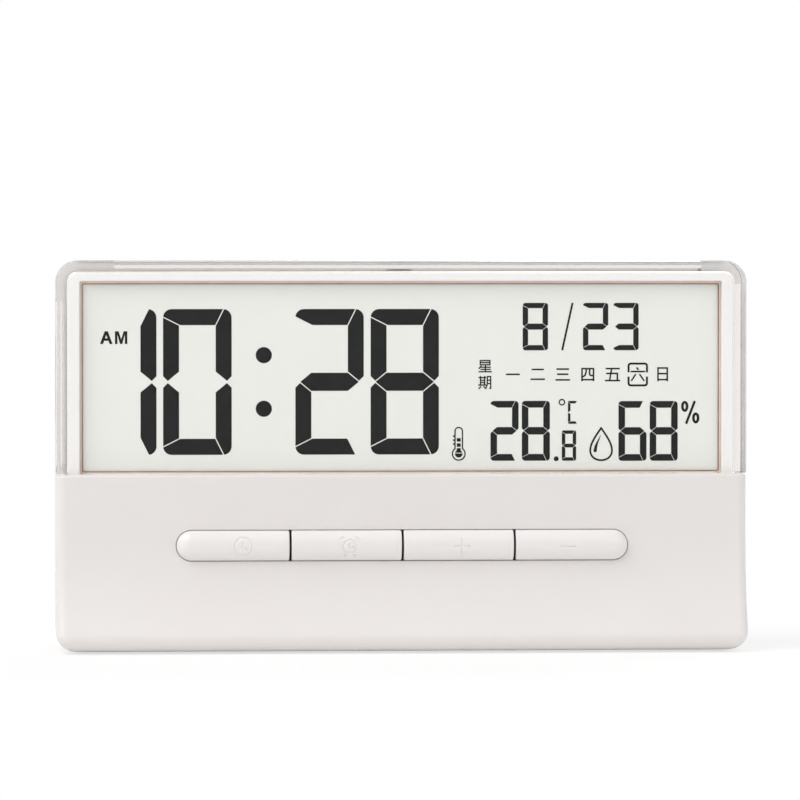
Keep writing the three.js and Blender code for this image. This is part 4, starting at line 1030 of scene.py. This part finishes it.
# Coil springs: nickel-plated wire wound in four open turns. Each stands on a contact and presses on a cell's
# flat end.
nickel = bare_metal("bright_nickel", (0.72, 0.70, 0.66), (0.62, 0.60, 0.56), (0.14, 0.28), 150)
wire, coil_radius, coil_length, coil_turns, coil_start = 0.6, 2.6, 6.0, 4, -25.4
turn_steps, wire_sides = 28, 10
for row, z, way in cell_rows:
    steps = coil_turns * turn_steps
    rings = []
    for i in range(steps + 1):
        angle = 2 * math.pi * coil_turns * i / steps
        outward = Vector((0, math.cos(angle), math.sin(angle)))
        along = coil_start + wire / 2 + (coil_length - wire) * i / steps
        centre = Vector((along, 0, 0)) + outward * coil_radius
        ring = []
        for k in range(wire_sides):
            turn = 2 * math.pi * k / wire_sides
            p = centre + (outward * math.cos(turn) + Vector((1, 0, 0)) * math.sin(turn)) * wire / 2
            ring.append((way * p.x, cell_y + way * p.y, z + p.z))
        rings.append(ring)
    settle(shape(row + "_spring_coil", *skin(rings)), nickel, "nickel", row + "_spring")


# Works inside the case: the display's glass and reflector, its contact strip, the circuit board with its
# switches and parts, the battery contacts and leads. These keep their solids and get their own finishes.
def dress(finish, slot, *names, soften=0.1):
    """Gives carried-over solids a finish and slightly softened edges."""
    for name in names:
        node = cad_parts[name]
        node.data.materials.clear()
        node.data.materials.append(finish)
        edge = node.modifiers.new("soft_edge", "BEVEL")
        edge.width = soften * MM
        edge.segments = 2
        edge.limit_method = "ANGLE"
        edge.angle_limit = math.radians(50)


display_glass = moulded("display_glass", (0.74, 0.80, 0.76), (0.70, 0.77, 0.73), (0.04, 0.09), 1000, 1)
dress(display_glass, "display_glass", "lcd_front_glass", "lcd_rear_glass")
foil = bare_metal("reflector_foil", (0.60, 0.61, 0.59), (0.55, 0.56, 0.54), (0.3, 0.42), 100)
dress(foil, "reflector_foil", "lcd_reflector", soften=0.03)
dress(frame_white, "frame_plastic", "lcd_back_plate")
zebra_rubber = moulded("zebra_rubber", (0.68, 0.30, 0.35), (0.55, 0.22, 0.27), (0.7, 0.85), 200, 10, 2)
dress(zebra_rubber, "zebra_rubber", "zebra_strip")
board_brown = moulded("board_brown", (0.22, 0.10, 0.045), (0.16, 0.07, 0.03), (0.35, 0.5), 600, 20, 4)
dress(board_brown, "board_resin", "main_board")
epoxy = moulded("chip_epoxy", (0.012, 0.012, 0.013), (0.008, 0.008, 0.009), (0.25, 0.45), 800, 40, 3)
dress(epoxy, "chip_epoxy", "controller_chip")
key_names = ("time", "alarm", "plus", "minus")
black_plastic = moulded("black_plastic", (0.02, 0.02, 0.022), (0.014, 0.014, 0.016), (0.4, 0.55), 200, 10, 4)
dress(black_plastic, "black_plastic", "buzzer", *[key + "_switch" for key in key_names])
pale_plastic = moulded("sensor_plastic", (0.72, 0.76, 0.78), (0.66, 0.70, 0.72), (0.4, 0.55), 300, 10, 4)
dress(pale_plastic, "sensor_plastic", "climate_sensor", *[key + "_plunger" for key in key_names])
dress(plated_steel, "steel", "quartz_crystal", *[f"board_screw_{i}" for i in (1, 2, 3, 4)])
dress(nickel, "nickel", "bridge_contact", "positive_contact", "negative_contact", soften=0.08)
red_sleeve = moulded("red_sleeve", (0.45, 0.02, 0.015), (0.36, 0.015, 0.01), (0.35, 0.5), 300, 10, 3)
dress(red_sleeve, "red_lead", "red_lead")
black_sleeve = moulded("black_sleeve", (0.015, 0.015, 0.016), (0.01, 0.01, 0.011), (0.35, 0.5), 300, 10, 3)
dress(black_sleeve, "black_lead", "black_lead")
